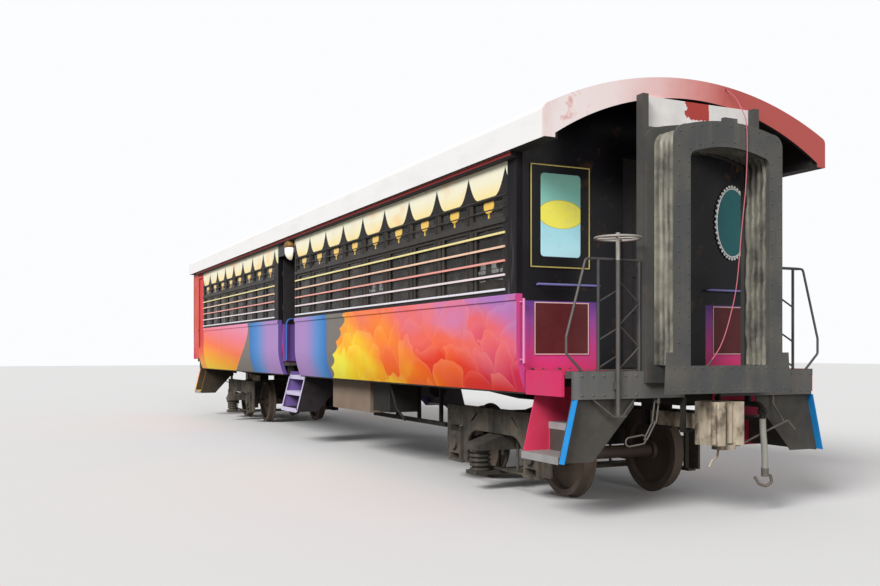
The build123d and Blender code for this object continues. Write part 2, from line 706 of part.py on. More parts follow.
grab_points = [(rail_x, 1175, railing_top_z), (rail_x, 1215, railing_top_z), (rail_x, 1405, 1560),
               (rail_x, 1405, 1420), (rail_x, 1250, beam_top_z)]
grab = bent_rod(grab_points, 22, 35)
corner_rail = rod((near_wall_x + 60, side_half_width - 40, floor_top_z + 60),
                  (near_wall_x + 60, side_half_width - 40, 1905), 24)
for z in (floor_top_z + 90, 1875):
    corner_rail += rod((near_wall_x, side_half_width - 40, z), (near_wall_x + 60, side_half_width - 40, z), 18)
wall_rail = rod((near_wall_x + 50, 640, 2035), (near_wall_x + 50, 1297, 2035), 22)
for y in (660, 1277):
    wall_rail += rod((near_wall_x, y, 2035), (near_wall_x + 50, y, 2035), 16)
grab -= near_beam
grabs = [piece for rail in (grab, corner_rail, wall_rail) for piece in (rail, mirror(rail, about=Plane.XZ))]
save(Compound(children=[g.solid() for g in grabs]), "grab_rods")

# Handbrake column on the open platform, ahead of the headstock
handbrake_y = -930
handbrake_x = headstock_face_x + 30
handbrake_top_z = 2430
handbrake_foot_z = 890
column = rod((handbrake_x, handbrake_y, handbrake_foot_z), (handbrake_x, handbrake_y, handbrake_top_z), 36)
wheel_dia = 380
hand_wheel = Pos(handbrake_x, handbrake_y, handbrake_top_z - 45) * Torus(wheel_dia / 2, 11)
for turn in range(4):
    angle = radians(45 + 90 * turn)
    tip = (handbrake_x + wheel_dia / 2 * cos(angle), handbrake_y + wheel_dia / 2 * sin(angle), handbrake_top_z - 45)
    hand_wheel += rod((handbrake_x, handbrake_y, handbrake_top_z - 45), tip, 14)
bracket = block(headstock_face_x, handbrake_x, handbrake_y - 30, handbrake_y + 30, 1120, 1180)
foot_plate = block(handbrake_x - 40, handbrake_x + 40, handbrake_y - 60, handbrake_y + 60,
                   handbrake_foot_z, handbrake_foot_z + 14)
stays = rod((handbrake_x, handbrake_y - 50, handbrake_foot_z + 8), (headstock_face_x - 25, -1150, headstock_z + 2), 14)
stays += rod((handbrake_x, handbrake_y + 50, handbrake_foot_z + 8), (headstock_face_x - 25, -710, headstock_z + 2), 14)
handbrake = column + hand_wheel + bracket + foot_plate + stays
save(handbrake - near_beam, "handbrake")


# Gangways
def gangway_outline(half, top_z, bottom_z, rise, corner):
    """An arched gangway outline of (y, z): straight sides, rounded shoulders and a low crown."""
    points = [(-half, bottom_z), (half, bottom_z), (half, top_z - corner), (half - corner, top_z)]
    return make_face([
        Line(points[0], points[1]),
        Line(points[1], points[2]),
        ThreePointArc(points[2], (half - corner * (1 - sin(pi / 4)), top_z - corner * (1 - sin(pi / 4))), points[3]),
        ThreePointArc(points[3], (0, top_z + rise), (-points[3][0], top_z)),
        ThreePointArc((-points[3][0], top_z),
                      (-half + corner * (1 - sin(pi / 4)), top_z - corner * (1 - sin(pi / 4))), (-half, top_z - corner)),
        Line((-half, top_z - corner), points[0]),
    ])


def gangway_ring(x0, x1, outer_half, outer_top, inner_half, inner_top, bottom_z):
    """An arched frame, open at its foot, between two places along X."""
    plane = Plane(origin=(x0, 0, 0), x_dir=(0, 1, 0), z_dir=(1, 0, 0))
    outer = gangway_outline(outer_half, outer_top, bottom_z, 60, 110)
    inner = gangway_outline(inner_half, inner_top, bottom_z - 10, 55, 70)
    return extrude(plane * (outer - inner), amount=x1 - x0)


face_outer_half = gangway_opening_half + gangway_frame_width
face_outer_top = gangway_opening_top_z + 170
opening_side_top = gangway_opening_top_z - 40
face_back_x = face_x - face_plate_thickness
face_plate = gangway_ring(face_back_x, face_x, face_outer_half, face_outer_top,
                          gangway_opening_half, opening_side_top, gangway_sill_z)
foot = [(-foot_plate_half, foot_plate_bottom_z), (foot_plate_half, foot_plate_bottom_z)]
foot += [(foot_plate_half - 20, gangway_sill_z + 110), (gangway_opening_half, gangway_sill_z + 110)]
foot += [(gangway_opening_half, gangway_sill_z), (-gangway_opening_half, gangway_sill_z)]
foot += [(-gangway_opening_half, gangway_sill_z + 110), (-foot_plate_half + 20, gangway_sill_z + 110)]
face_plate += slab_x(foot, face_back_x, face_x)
face_plate += block(face_back_x, face_x, -72, 72, face_outer_top + 20, face_outer_top + 94)
far_face_plate = mirror(face_plate, about=Plane.YZ)
face_plate += cord_knob(cord_route[-1], cord_route[-2], 75)
save(Compound(children=[face_plate.solid(), far_face_plate.solid()]), "gangway_face_plates")

bellows_inset = 12
bellows = gangway_ring(headstock_face_x + 45, face_back_x, face_outer_half - bellows_inset,
                       face_outer_top - bellows_inset, gangway_opening_half + 12, opening_side_top + 12,
                       gangway_sill_z)
save(Compound(children=[bellows.solid(), mirror(bellows, about=Plane.YZ).solid()]), "gangway_bellows")

gangway_frame = gangway_ring(headstock_face_x, headstock_face_x + 45, face_outer_half + 60,
                             face_outer_top + 30, gangway_opening_half, opening_side_top, beam_top_z - 100)
bridge = block(headstock_face_x - 40, face_back_x, -gangway_opening_half + 2, gangway_opening_half - 2,
               floor_top_z, floor_top_z + 14)
bridge += block(headstock_face_x, headstock_face_x + 45, -gangway_opening_half - 5, gangway_opening_half + 5,
                floor_top_z, floor_top_z + 14)
header = block(roof_near_x, headstock_face_x + 1, -600, 600, face_outer_top - 30, face_outer_top + 40)
gangway_frame += header
gangway_frame += bridge
post_x = (roof_near_x + fascia_thickness, headstock_face_x)
post_top_z = 3640
gangway_post = block(*post_x, 590, 650, beam_top_z, post_top_z)
gangway_post -= block(post_x[0] - 5, floor_length / 2, 580, 660, beam_top_z - 5, floor_top_z)
gangway_frame += both_sides(gangway_post)
gangway_frame += block(post_x[0], post_x[0] + 18, -600, 600, face_outer_top, post_top_z)
save(Compound(children=[gangway_frame.solid(), mirror(gangway_frame, about=Plane.YZ).solid()]), "gangway_frames")


# Couplers
def coupler():
    """A knuckle coupler head on its shank, at the near end."""
    head_x = face_x
    half_w = coupler_head_width / 2
    half_h = coupler_head_height / 2
    head = [(head_x - 290, -95), (head_x - 250, -half_w), (head_x - 60, -half_w), (head_x, -half_w + 55),
            (head_x, -60), (head_x - 90, -35), (head_x - 90, 60), (head_x - 10, 85), (head_x, half_w - 40),
            (head_x - 60, half_w), (head_x - 230, half_w - 40), (head_x - 290, 95)]
    body = Pos(0, 0, coupler_z - half_h) * extrude(make_face(Polyline(*head, close=True)), amount=2 * half_h)
    corners = [(head_x - 250, -half_w), (head_x - 60, -half_w), (head_x - 60, half_w), (head_x - 230, half_w - 40)]
    round_edges = [edge for edge in body.edges().filter_by(Axis.Z)
                   if any(abs(edge.center().X - x) < 1 and abs(edge.center().Y - y) < 1 for x, y in corners)]
    body = fillet(round_edges, 38)
    for x, y, radius in ((head_x - 84, -14, 24), (head_x - 72, 44, 30), (head_x - 28, -half_w + 26, 24)):
        body += Pos(x, y, coupler_z) * Cylinder(radius, 2 * half_h - 30)
    shank = block(headstock_face_x - coupler_pivot_setback, head_x - 280, -shank_size / 2, shank_size / 2,
                  coupler_z - shank_size / 2, coupler_z + shank_size / 2)
    eye = Pos(headstock_face_x - coupler_pivot_setback, 0, coupler_z) * Cylinder(shank_size / 2 + 5, shank_size)
    pin_hole = Pos(headstock_face_x - coupler_pivot_setback, 0, coupler_z) * Cylinder(coupler_pin_dia / 2 + pin_clearance, shank_size + 20)
    lifter_x = head_x - 100
    lifter = block(lifter_x - 60, lifter_x + 60, -70, 90, coupler_z - half_h - 40, coupler_z - half_h)
    lever = [(lifter_x, -45, coupler_z - half_h - 20), (lifter_x, -60, 545), (lifter_x, -119, 512), (lifter_x, -150, 455)]
    lifter += bent_rod(lever, 18, 22)
    return body + shank + eye + lifter - pin_hole


near_coupler = coupler()
save(near_coupler, "coupler_near")
save(Rot(Z=180) * near_coupler, "coupler_far")

# Draw gear: the pocket under the centre sill that holds each coupler's pin, and the carrier below its shank
pocket_x = headstock_face_x - coupler_pivot_setback
cheek = shank_size / 2 + 6
pocket = block(pocket_x - 110, pocket_x + 90, -95, 95, coupler_z + cheek, centre_sill_z)
pocket += block(pocket_x - 110, pocket_x + 90, -95, 95, coupler_z - cheek - 30, coupler_z - cheek)
pocket += block(pocket_x - 130, pocket_x - 100, -95, 95, coupler_z - cheek - 30, centre_sill_z)
pocket += Pos(pocket_x, 0, coupler_z) * Cylinder(coupler_pin_dia / 2, 2 * cheek + 20)
# A stirrup below the headstock carries the shank
carrier_half = shank_size / 2 + 140
carrier_x = (headstock_face_x - headstock_thickness, headstock_face_x)
carrier_top_z = coupler_z - shank_size / 2 - 5
carrier = block(*carrier_x, -carrier_half, carrier_half, carrier_top_z - 25, carrier_top_z)
carrier += both_sides(block(*carrier_x, carrier_half - 20, carrier_half, carrier_top_z - 25, headstock_z))
draw_pieces = [pocket, mirror(pocket, about=Plane.YZ), carrier, mirror(carrier, about=Plane.YZ)]
save(Compound(children=[piece.solid() for piece in draw_pieces]), "draw_gear")

# Uncoupling rods: from under each coupler out to a handle by the steps
rod_x = headstock_face_x + 100
uncoupling = bent_rod([(rod_x, 150, 598), (rod_x, 330, 612), (rod_x, 620, 716), (rod_x, 896, 812), (rod_x, 985, 728)], 18, 22)
uncoupling += bent_rod([(headstock_face_x - 30, 850, headstock_z), (headstock_face_x - 30, 850, 960), (rod_x, 850, 800)], 18, 30)
save(Compound(children=[uncoupling.solid(), (Rot(Z=180) * uncoupling).solid()]), "uncoupling_rods")


# Safety links: a chain of long links under the headstock, beside the coupler
link_wire = 14


def link(middle, along, across, half_length, radius):
    """One long link about its middle, its straight bars joined by half rings."""
    middle, along, across = Vector(*middle), Vector(*along).normalized(), Vector(*across).normalized()
    corners = [middle + along * (half_length * a) + across * (radius * b) for a, b in ((1, 1), (-1, 1), (-1, -1), (1, -1))]
    path = FilletPolyline(*corners, radius=0.99 * radius, close=True)
    return sweep((path ^ 0) * Circle(link_wire / 2), path=path)


def link_chain(start, steps):
    """Links that hang one from the next: each step is (towards, across, half_length, radius)."""
    point = Vector(*start)
    links = []
    for towards, across, half_length, radius in steps:
        along = Vector(*towards).normalized()
        middle = point + along * half_length
        links.append(link(tuple(middle), towards, across, half_length, radius))
        point = middle + along * half_length - along * (link_wire + guide_clearance)
    return links


chain_x = headstock_face_x - 30
chain_y = -480
chain_top_z = headstock_z - 36
chain_steps = (
    ((0, -0.15, -1), (0, 1, -0.15), 100, 22),
    ((0, -0.5, -0.8), (1, 0, 0), 92, 20),
    ((0, -1, -0.12), (0, 0.12, -1), 105, 38),
)
bolt_dia = 12
chain_start = (chain_x, chain_y, chain_top_z + (bolt_dia + link_wire) / 2 + guide_clearance)
chain_links = link_chain(chain_start, chain_steps)
eye_bolt = rod((chain_x - 22, chain_y, chain_top_z), (chain_x + 22, chain_y, chain_top_z), bolt_dia)
for side in (-1, 1):
    ear_x = chain_x + side * 22
    eye_bolt += block(ear_x - 5, ear_x + 5, chain_y - 12, chain_y + 12, chain_top_z - 12, headstock_z)
near_links = [eye_bolt] + chain_links
save(Compound(children=[piece.solid() for near in near_links for piece in (near, Rot(Z=180) * near)]), "safety_links")

# Brake pipes, each with a cock ahead of the headstock that its hose hangs from
pipe_dia = 50
hose_dia = 58
pipe_x = headstock_face_x + 150
pipe_y = 545
pipe_z = 965
hose_route = [(pipe_x, 548, 840), (pipe_x, 550.4, 740), (pipe_x + 3, 562, 620), (pipe_x + 4, 571, 500), (pipe_x + 1, 574, 400)]
pipe = bent_rod([(headstock_face_x - 260, pipe_y, pipe_z), (pipe_x, pipe_y, pipe_z), hose_route[0]], pipe_dia, 60)
pipe += block(headstock_face_x - headstock_thickness, headstock_face_x, pipe_y - 12, pipe_y + 12, pipe_z, headstock_z)
pipe += Pos(pipe_x, pipe_y + 1, 905) * Sphere(42)
pipe += rod((pipe_x - 40, pipe_y, 905), (pipe_x + 70, pipe_y - 30, 915), 20)
save(Compound(children=[pipe.solid(), (Rot(Z=180) * pipe).solid()]), "brake_pipes")


def route_radii(route):
    """The arc at each inner point of a cord's route: 0.45 of the shorter run over tan of half the turn."""
    radii = []
    for before, point, after in zip(route, route[1:], route[2:]):
        run_in = Vector(*point) - Vector(*before)
        run_out = Vector(*after) - Vector(*point)
        half_turn = radians(run_in.get_angle(run_out)) / 2
        radii.append(0.45 * min(run_in.length, run_out.length) * cos(half_turn) / sin(half_turn))
    return radii


def cord_tube(route, dia, name):
    """A cord's plain tube along its route, with its arcs and its volume printed."""
    radii = route_radii(route)
    path = FilletPolyline(*route, radius=radii)
    tube = sweep((path ^ 0) * Circle(dia / 2), path=path)
    expected = pi * dia ** 2 / 4 * path.length
    print(name, "radii", [round(r) for r in radii], "length", round(path.length), "volume ratio",
          round(tube.volume / expected, 4))
    return tube


brake_hose = cord_tube(hose_route, hose_dia, "brake_hose")
save(brake_hose, "brake_hose_near")
save(Rot(Z=180) * brake_hose, "brake_hose_far")

# Hose couplings: a sleeve on each hose's end, and the horn that hooks into its fellow
hose_end = Vector(*hose_route[-1])
hose_down = (hose_end - Vector(*hose_route[-2])).normalized()
sleeve_end = hose_end + hose_down * 75
coupling = rod(tuple(hose_end), tuple(sleeve_end), hose_dia + 8)
horn = [tuple(sleeve_end - hose_down * 20), (pipe_x + 1, 640, 330), (pipe_x + 1, 655, 268), (pipe_x + 1, 585, 238),
        (pipe_x + 1, 505, 262), (pipe_x + 1, 455, 325)]
coupling += bent_rod(horn, 26, 20)
save(coupling, "hose_coupling_near")
save(Rot(Z=180) * coupling, "hose_coupling_far")


pull_cord = cord_tube(cord_route, cord_dia, "pull_cord")
save(pull_cord, "pull_cord")


# Wheelsets
def wheel_profile():
    """Half section of one wheel on the +Y side, as (radius, y) points from the hub outwards."""
    back = rail_gauge / 2 - flange_play
    front = back + tyre_width
    tread = wheel_tread_dia / 2
    return [(axle_dia / 2, back - 10), (105, back - 10), (115, back + 25), (tread - 75, back + 40),
            (tread - 60, back), (tread + flange_height - 8, back), (tread + flange_height, back + 10),
            (tread + flange_height - 4, back + 24), (tread + 4, back + 36), (tread - 3, front),
            (tread - 60, front), (tread - 75, back + 65), (115, back + 80), (105, front + 20),
            (axle_dia / 2, front + 20)]


def wheelset(x):
    """An axle with its two wheels, about the Y axis."""
    outline = [(radius, y) for radius, y in wheel_profile()]
    wheel = revolve(Plane.XY * make_face(Polyline(*outline, close=True)), axis=Axis.Y)
    barrel = rail_gauge / 2 + tyre_width + 40
    axle = Rot(X=90) * Cylinder(axle_dia / 2, 2 * barrel)
    axle += Rot(X=90) * Cylinder(journal_dia / 2, 2 * journal_reach)
    return Pos(x, 0, axle_z) * (axle + both_sides(wheel))


# Each wheelset: its bogie's centre, and the side of that centre it lies on
axle_places = ((bogie_centre_x, 1), (bogie_centre_x, -1), (-bogie_centre_x, 1), (-bogie_centre_x, -1))
for number, (centre, side) in enumerate(axle_places, start=1):
    save(wheelset(centre + side * wheelbase / 2), f"wheelset_{number}")


# Bogies
def side_plate():
    """One pressed side plate with its arch and the slots for the axle boxes, centred on x = 0."""
    half = side_plate_half_length
    leg_in = half - leg_width
    outline = [(-half, side_plate_top_z), (half, side_plate_top_z), (half, leg_bottom_z),
               (leg_in, leg_bottom_z), (leg_in, arch_crown_z), (-leg_in, arch_crown_z),
               (-leg_in, leg_bottom_z), (-half, leg_bottom_z)]
    plate = slab_y(outline, side_plate_y - side_plate_thickness, side_plate_y)
    crown_edges = [e for e in plate.edges().filter_by(Axis.Y)
                   if abs(e.center().Z - arch_crown_z) < 1 and abs(abs(e.center().X) - leg_in) < 1]
    plate = fillet(crown_edges, arch_corner_radius)
    slot = axlebox_width / 2 + guide_clearance
    slot_top = axle_z + axlebox_height / 2 + 60
    for side in (-1, 1):
        x = side * wheelbase / 2
        plate -= block(x - slot, x + slot, 0, 2000, leg_bottom_z - 10, slot_top)
        for edge in (x - slot - 34, x + slot):
            plate += block(edge, edge + 34, side_plate_y - 70, side_plate_y + 45, leg_bottom_z, slot_top)
        plate += block(x - slot - 60, x + slot + 60, side_plate_y - 60, side_plate_y + 40,
                       leg_bottom_z - 30, leg_bottom_z)
    plate += block(-leg_in - 30, leg_in + 30, side_plate_y - 20, side_plate_y + 12, leg_bottom_z - 22, leg_bottom_z)
    plate += block(-half, half, side_plate_y - 90, side_plate_y, side_plate_top_z - 20, side_plate_top_z)
    plate += block(-12, 12, side_plate_y - 1, side_plate_y + 8, arch_crown_z + 12, side_plate_top_z)
    for side in (-1, 1):
        slot_place = Pos(side * 440, side_plate_y, 725) * Rot(Y=side * 38)
        plate -= slot_place * Box(170, 200, 26)
        plate -= Pos(side * (half - 60), side_plate_y, 700) * Box(26, 60, 110)
    return plate


def bogie_frame():
    """Side plates, end bars, transoms and brake gear of one bogie."""
    frame = both_sides(side_plate())
    inside = side_plate_y - side_plate_thickness
    for x in (-bolster_width / 2 - 45, bolster_width / 2 + 45):
        frame += block(x - 35, x + 35, -inside, inside, transom_bottom_z, side_plate_top_z - 30)
    for x in (-1, 1):
        shoe_x = x * (wheelbase / 2 - wheel_tread_dia / 2 - 12)
        for y in (-1, 1):
            centre_y = y * (rail_gauge / 2 - flange_play + tyre_width / 2 + 12)
            shoe = block(min(shoe_x, shoe_x - x * 55), max(shoe_x, shoe_x - x * 55),
                         centre_y - 40, centre_y + 40, axle_z - 120, axle_z + 90)
            hanger = block(shoe_x - x * 55 - 12, shoe_x - x * 55 + 12, centre_y - 12, centre_y + 12,
                           axle_z, side_plate_top_z - 200)
            arm = block(x * (bolster_width / 2 + 45), shoe_x - x * 43, centre_y - 20, centre_y + 20,
                        side_plate_top_z - 225, side_plate_top_z - 190)
            frame += shoe + hanger + arm
        beam_x = shoe_x - x * 62
        frame += block(beam_x - 22, beam_x + 22, -600, 600, axle_z - 55, axle_z)
    return frame


def bolster():
    """The swing bolster that carries the body, with its ends drawn down through the arches."""
    shoulder = 560
    half = bolster_width / 2 - 4
    arch_y = side_plate_y - side_plate_thickness - 15
    outline = [(-bolster_end_y, bolster_end_z - 60), (bolster_end_y, bolster_end_z - 60),
               (bolster_end_y, bolster_end_z), (arch_y, arch_crown_z - 10),
               (shoulder, side_plate_top_z - 60), (350, side_plate_top_z), (-350, side_plate_top_z),
               (-shoulder, side_plate_top_z - 60), (-arch_y, arch_crown_z - 10), (-bolster_end_y, bolster_end_z)]
    beam = slab_x(outline, -half, half)
    beam += Pos(0, 0, side_plate_top_z) * Cylinder(centre_plate_dia / 2, 30, align=(Align.CENTER, Align.CENTER, Align.MIN))
    return beam


link_x = bolster_width / 2 + 45
link_y = 720
transom_bottom_z = side_plate_top_z - 230


def springs():
    """Coil nests under the bolster ends, on a spring plank that joins the two sides."""
    top = bolster_end_z - 60
    turns = 4
    pitch = (top - spring_bottom_z - 24) / turns
    pieces = block(-110, 110, -spring_y - 110, spring_y + 110, spring_bottom_z - 40, spring_bottom_z)
    for side in (-1, 1):
        core = Pos(0, side * spring_y, spring_bottom_z) * Cylinder(
            spring_coil_dia / 2 - spring_wire_dia + 4, top - spring_bottom_z, align=(Align.CENTER, Align.CENTER, Align.MIN))
        pieces += core
        for index in range(turns + 1):
            z = spring_bottom_z + 12 + index * pitch
            pieces += Pos(0, side * spring_y, z) * Torus(spring_coil_dia / 2 - spring_wire_dia / 2, spring_wire_dia / 2)
    pieces -= block(-200, 200, -1400, 1400, top, top + 200)
    for side in (-1, 1):
        pieces += rod((-link_x, side * link_y, spring_bottom_z - 20), (link_x, side * link_y, spring_bottom_z - 20), 36)
        for x in (-link_x, link_x):
            pieces += rod((x, side * link_y, spring_bottom_z - 20), (x, side * link_y, transom_bottom_z), 30)
    return pieces


def axleboxes():
    """Four axle boxes with round covers, one on each journal."""
    boxes = []
    for side_x in (-1, 1):
        for side_y in (-1, 1):
            x = side_x * wheelbase / 2
            inner = axlebox_y - axlebox_depth / 2
            half_w = axlebox_width / 2
            box = block(x - half_w, x + half_w, inner, inner + axlebox_depth,
                        axle_z - axlebox_height / 2, axle_z + axlebox_height / 2)
            bore = Pos(x, inner - 1, axle_z) * (Rot(X=-90) * Cylinder(
                journal_dia / 2 + journal_clearance, journal_reach + 6 - inner + 1, align=(Align.CENTER, Align.CENTER, Align.MIN)))
            cover = Pos(x, inner + axlebox_depth, axle_z) * (Rot(X=-90) * Cylinder(
                82, 34, align=(Align.CENTER, Align.CENTER, Align.MIN)))
            box = box + cover - bore
            boxes.append((box if side_y > 0 else mirror(box, about=Plane.XZ)).solid())
    return boxes


for end, centre in (("near", bogie_centre_x), ("far", -bogie_centre_x)):
    place = Pos(centre, 0, 0)
    save(place * bogie_frame(), f"bogie_frame_{end}")
    save(place * bolster(), f"bolster_{end}")
    save(place * springs(), f"springs_{end}")
    save(Compound(children=[place * b for b in axleboxes()]), f"axleboxes_{end}")


# Seats: pairs of benches on each side of the aisle
seat_pitch = 722
seat_width = 960
seat_height = 430
seat_depth = 420
back_height = 980
back_thickness = 60


def bench(x):
    """One two-place bench facing the open platform, on the +Y side, on a pedestal."""
    y0 = inner_y - 8 - seat_width
    y1 = inner_y - 8
    profile = [(x, seat_height - 70), (x + seat_depth, seat_height - 55), (x + seat_depth, seat_height),
               (x + 60, seat_height - 10), (x - 40, back_height), (x - 40 - back_thickness, back_height),
               (x - 10, seat_height - 70)]
    outline = [(px, floor_top_z + pz) for px, pz in profile]
    seat = slab_y(outline, y0, y1)
    foot = block(x + 60, x + seat_depth - 120, y0 + 330, y0 + 380, floor_top_z, floor_top_z + seat_height - 60)
    foot += block(x + 40, x + seat_depth - 100, y0 + 300, y0 + 410, floor_top_z, floor_top_z + 16)
    return seat + foot


benches = []
for start, count in ((near_run_start - 1400, near_bays - 2), (far_run_start - 1400, far_bays - 2)):
    for index in range(count):
        seat = bench(start - index * seat_pitch)
        benches += [seat.solid(), mirror(seat, about=Plane.XZ).solid()]
save(Compound(children=benches), "seats")

# Boxes and brake gear under the floor
box_top_z = bearer_z
battery = block(1250, 2740, -1180, -800, 640, box_top_z - 60)
battery_lid = block(1235, 2755, -1190, -790, box_top_z - 60, box_top_z - 45)
equipment = block(2860, 3420, -1180, -800, 680, box_top_z - 50)
straps = block(1350, 1400, -1180, -800, box_top_z - 45, floor_bottom_z)
straps += block(2500, 2550, -1180, -800, box_top_z - 45, floor_bottom_z)
box_straps = block(3000, 3050, -1180, -800, box_top_z - 50, floor_bottom_z)
box_straps += block(3230, 3280, -1180, -800, box_top_z - 50, floor_bottom_z)
boxes = [battery + battery_lid + straps, equipment + box_straps]
save(Compound(children=[b.solid() for b in boxes]), "battery_boxes")

reservoir = Pos(-1800, -420, 900) * (Rot(Y=90) * Cylinder(170, 1100))
reservoir = fillet(reservoir.edges(), 60)
reservoir_hangers = [block(x - 20, x + 20, -440, -400, 1060, floor_bottom_z) for x in (-2150, -1350)]
brake_cylinder = Pos(1200, 420, 900) * (Rot(Y=90) * Cylinder(150, 480))
cylinder_hanger = block(1100, 1300, 340, 500, 1040, floor_bottom_z)
push_rod = rod((1430, 420, 900), (2100, 420, 900), 34)
hung_bar = block(1800, 4150, -765, -715, 540, 590)
for x in (1950, 2620, 3330, 3980):
    hung_bar += block(x - 20, x + 20, -760, -720, 585, inner_bar_z)
sole_bottom_z = wall_bottom_z - sole_flange
drain_pipe = bent_rod([(3716, -1290, sole_bottom_z + 20), (3760, -1290, 960), (3900, -1290, 760),
                       (4150, -1290, 640)], 30, 60)
drain_pipe -= block(3650, 3790, -1320, -1260, sole_bottom_z, sole_bottom_z + 40)
gear = [hung_bar, drain_pipe, reservoir + reservoir_hangers[0] + reservoir_hangers[1], brake_cylinder + cylinder_hanger + push_rod]
save(Compound(children=[g.solid() for g in gear]), "brake_equipment")
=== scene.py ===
from math import cos, pi, radians, sin

import bmesh
import bpy
from mathutils import Matrix, Vector


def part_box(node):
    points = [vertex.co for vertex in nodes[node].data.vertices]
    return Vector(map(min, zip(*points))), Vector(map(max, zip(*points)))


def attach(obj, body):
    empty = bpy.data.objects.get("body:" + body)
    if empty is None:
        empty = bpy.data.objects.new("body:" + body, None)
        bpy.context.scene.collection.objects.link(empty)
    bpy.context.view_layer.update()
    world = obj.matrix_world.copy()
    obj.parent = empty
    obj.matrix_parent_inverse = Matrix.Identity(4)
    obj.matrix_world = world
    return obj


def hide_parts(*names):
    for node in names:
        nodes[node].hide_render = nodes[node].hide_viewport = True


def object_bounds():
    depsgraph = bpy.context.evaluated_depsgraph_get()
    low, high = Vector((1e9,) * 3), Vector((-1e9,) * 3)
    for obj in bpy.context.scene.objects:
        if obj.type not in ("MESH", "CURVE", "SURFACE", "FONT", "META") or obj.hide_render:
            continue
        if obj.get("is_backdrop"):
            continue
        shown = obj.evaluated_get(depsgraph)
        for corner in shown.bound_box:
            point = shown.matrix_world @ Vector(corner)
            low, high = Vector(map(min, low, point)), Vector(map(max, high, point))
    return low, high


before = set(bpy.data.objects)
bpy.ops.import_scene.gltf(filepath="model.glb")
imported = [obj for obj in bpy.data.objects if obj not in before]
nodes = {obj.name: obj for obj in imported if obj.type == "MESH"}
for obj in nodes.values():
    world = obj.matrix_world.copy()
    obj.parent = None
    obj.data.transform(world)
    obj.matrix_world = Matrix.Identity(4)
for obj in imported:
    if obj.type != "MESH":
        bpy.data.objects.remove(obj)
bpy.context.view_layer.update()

# Metre-gauge passenger coach with an open end platform, dressed for its looks.
# Metres. +X is the open platform end, -Y the side that faces the camera, +Z up.
coach = "coach_body"

# Places that the looks are worked out from. A run is one stretch of windows, counted from its near end.
near_wall_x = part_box("end_wall_near")[1][0]
side_half_width = 1.485
inner_half_width = 1.425
floor_top_z = 1.275
wall_bottom_z = 1.075
paint_top_z = 1.95
sill_z = 1.975
transom_z = 2.604
transom_height = 0.04
light_top_z = 2.866
wall_top_z = 3.2
bay_pitch = 0.722
post_width = 0.07
near_bays, far_bays = 9, 8
near_run_start = near_wall_x - 0.236
door_near_x = near_run_start - near_bays * bay_pitch
door_far_x = door_near_x - 0.93
far_run_start = door_far_x - 0.244
far_run_end = far_run_start - far_bays * bay_pitch + post_width
runs = ((near_run_start, near_bays), (far_run_start, far_bays))


def new_object(name, data):
    """An object in the scene for a mesh, curve, lamp or camera."""
    made = bpy.data.objects.new(name, data)
    bpy.context.collection.objects.link(made)
    return made


def add_camera():
    """The photograph's camera, from its vanishing points."""
    yaw = 0.4428
    data = bpy.data.cameras.new("camera")
    data.sensor_width = 36
    data.lens = 38.59
    data.shift_y = 0.067
    data.clip_end = 400
    camera = new_object("camera", data)
    camera.location = (14.295, -5.648, 1.434)
    camera.rotation_euler = Vector((-cos(yaw), sin(yaw), 0)).to_track_quat("-Z", "Y").to_euler()
    bpy.context.scene.camera = camera


add_camera()

# Cords: the routes that the part's own tubes follow.
# A curve's box counts the radius of its points, so that radius is kept small.
point_radius = 0.01


def cord_curve(name, route, diameter):
    """A smooth round cord with the route's points as its control points."""
    curve = bpy.data.curves.new(name, "CURVE")
    curve.dimensions = "3D"
    curve.bevel_depth = diameter / 2 / point_radius
    curve.bevel_resolution = 4
    curve.resolution_u = 6
    spline = curve.splines.new("NURBS")
    spline.points.add(len(route) - 1)
    for point, place in zip(spline.points, route):
        point.co = (*place, 1)
        point.radius = point_radius
    spline.order_u = 3
    spline.use_endpoint_u = True
    return new_object(name, curve)


hose_dia = 0.058
hose_route = [(7.935, 0.548, 0.84), (7.935, 0.5504, 0.74), (7.938, 0.562, 0.62),
              (7.939, 0.571, 0.5), (7.936, 0.574, 0.4)]
for end, turn in (("near", 1), ("far", -1)):
    route = [(turn * x, turn * y, z) for x, y, z in hose_route]
    hose = cord_curve(f"hose_{end}", route, hose_dia)
    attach(hose, coach)
    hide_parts(f"brake_hose_{end}")

cord_dia = 0.008
cord_route = [
    (7.707, 0.34, 3.798), (7.778, 0.322, 3.752), (7.85, 0.298, 3.703), (7.925, 0.264, 3.643),
    (8.000, 0.226, 3.575), (8.072, 0.19, 3.505), (8.13, 0.165, 3.434), (8.152, 0.16, 3.35),
    (8.153, 0.163, 3.245), (8.151, 0.164, 3.13), (8.152, 0.159, 3.015), (8.151, 0.152, 2.9),
    (8.152, 0.142, 2.785), (8.151, 0.128, 2.67), (8.152, 0.112, 2.555), (8.151, 0.098, 2.44),
    (8.152, 0.086, 2.325), (8.151, 0.074, 2.21), (8.152, 0.061, 2.095), (8.151, 0.044, 1.98),
    (8.152, 0.018, 1.868), (8.151, -0.016, 1.758), (8.152, -0.052, 1.65), (8.151, -0.094, 1.546),
    (8.148, -0.146, 1.446), (8.126, -0.196, 1.372),
]
pull_cord = cord_curve("cord_red", cord_route, cord_dia)
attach(pull_cord, coach)
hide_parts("pull_cord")


# Meshes
def add_piece(name, mesh, smooth=False, body=coach):
    """A new piece on a body."""
    mesh.name = name
    piece = new_object(name, mesh)
    for polygon in mesh.polygons:
        polygon.use_smooth = smooth
    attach(piece, body)
    return piece


def to_mesh(shape):
    """The mesh of an edited shape, with its faces turned outwards."""
    mesh = bpy.data.meshes.new("mesh")
    bmesh.ops.recalc_face_normals(shape, faces=shape.faces)
    shape.to_mesh(mesh)
    shape.free()
    return mesh


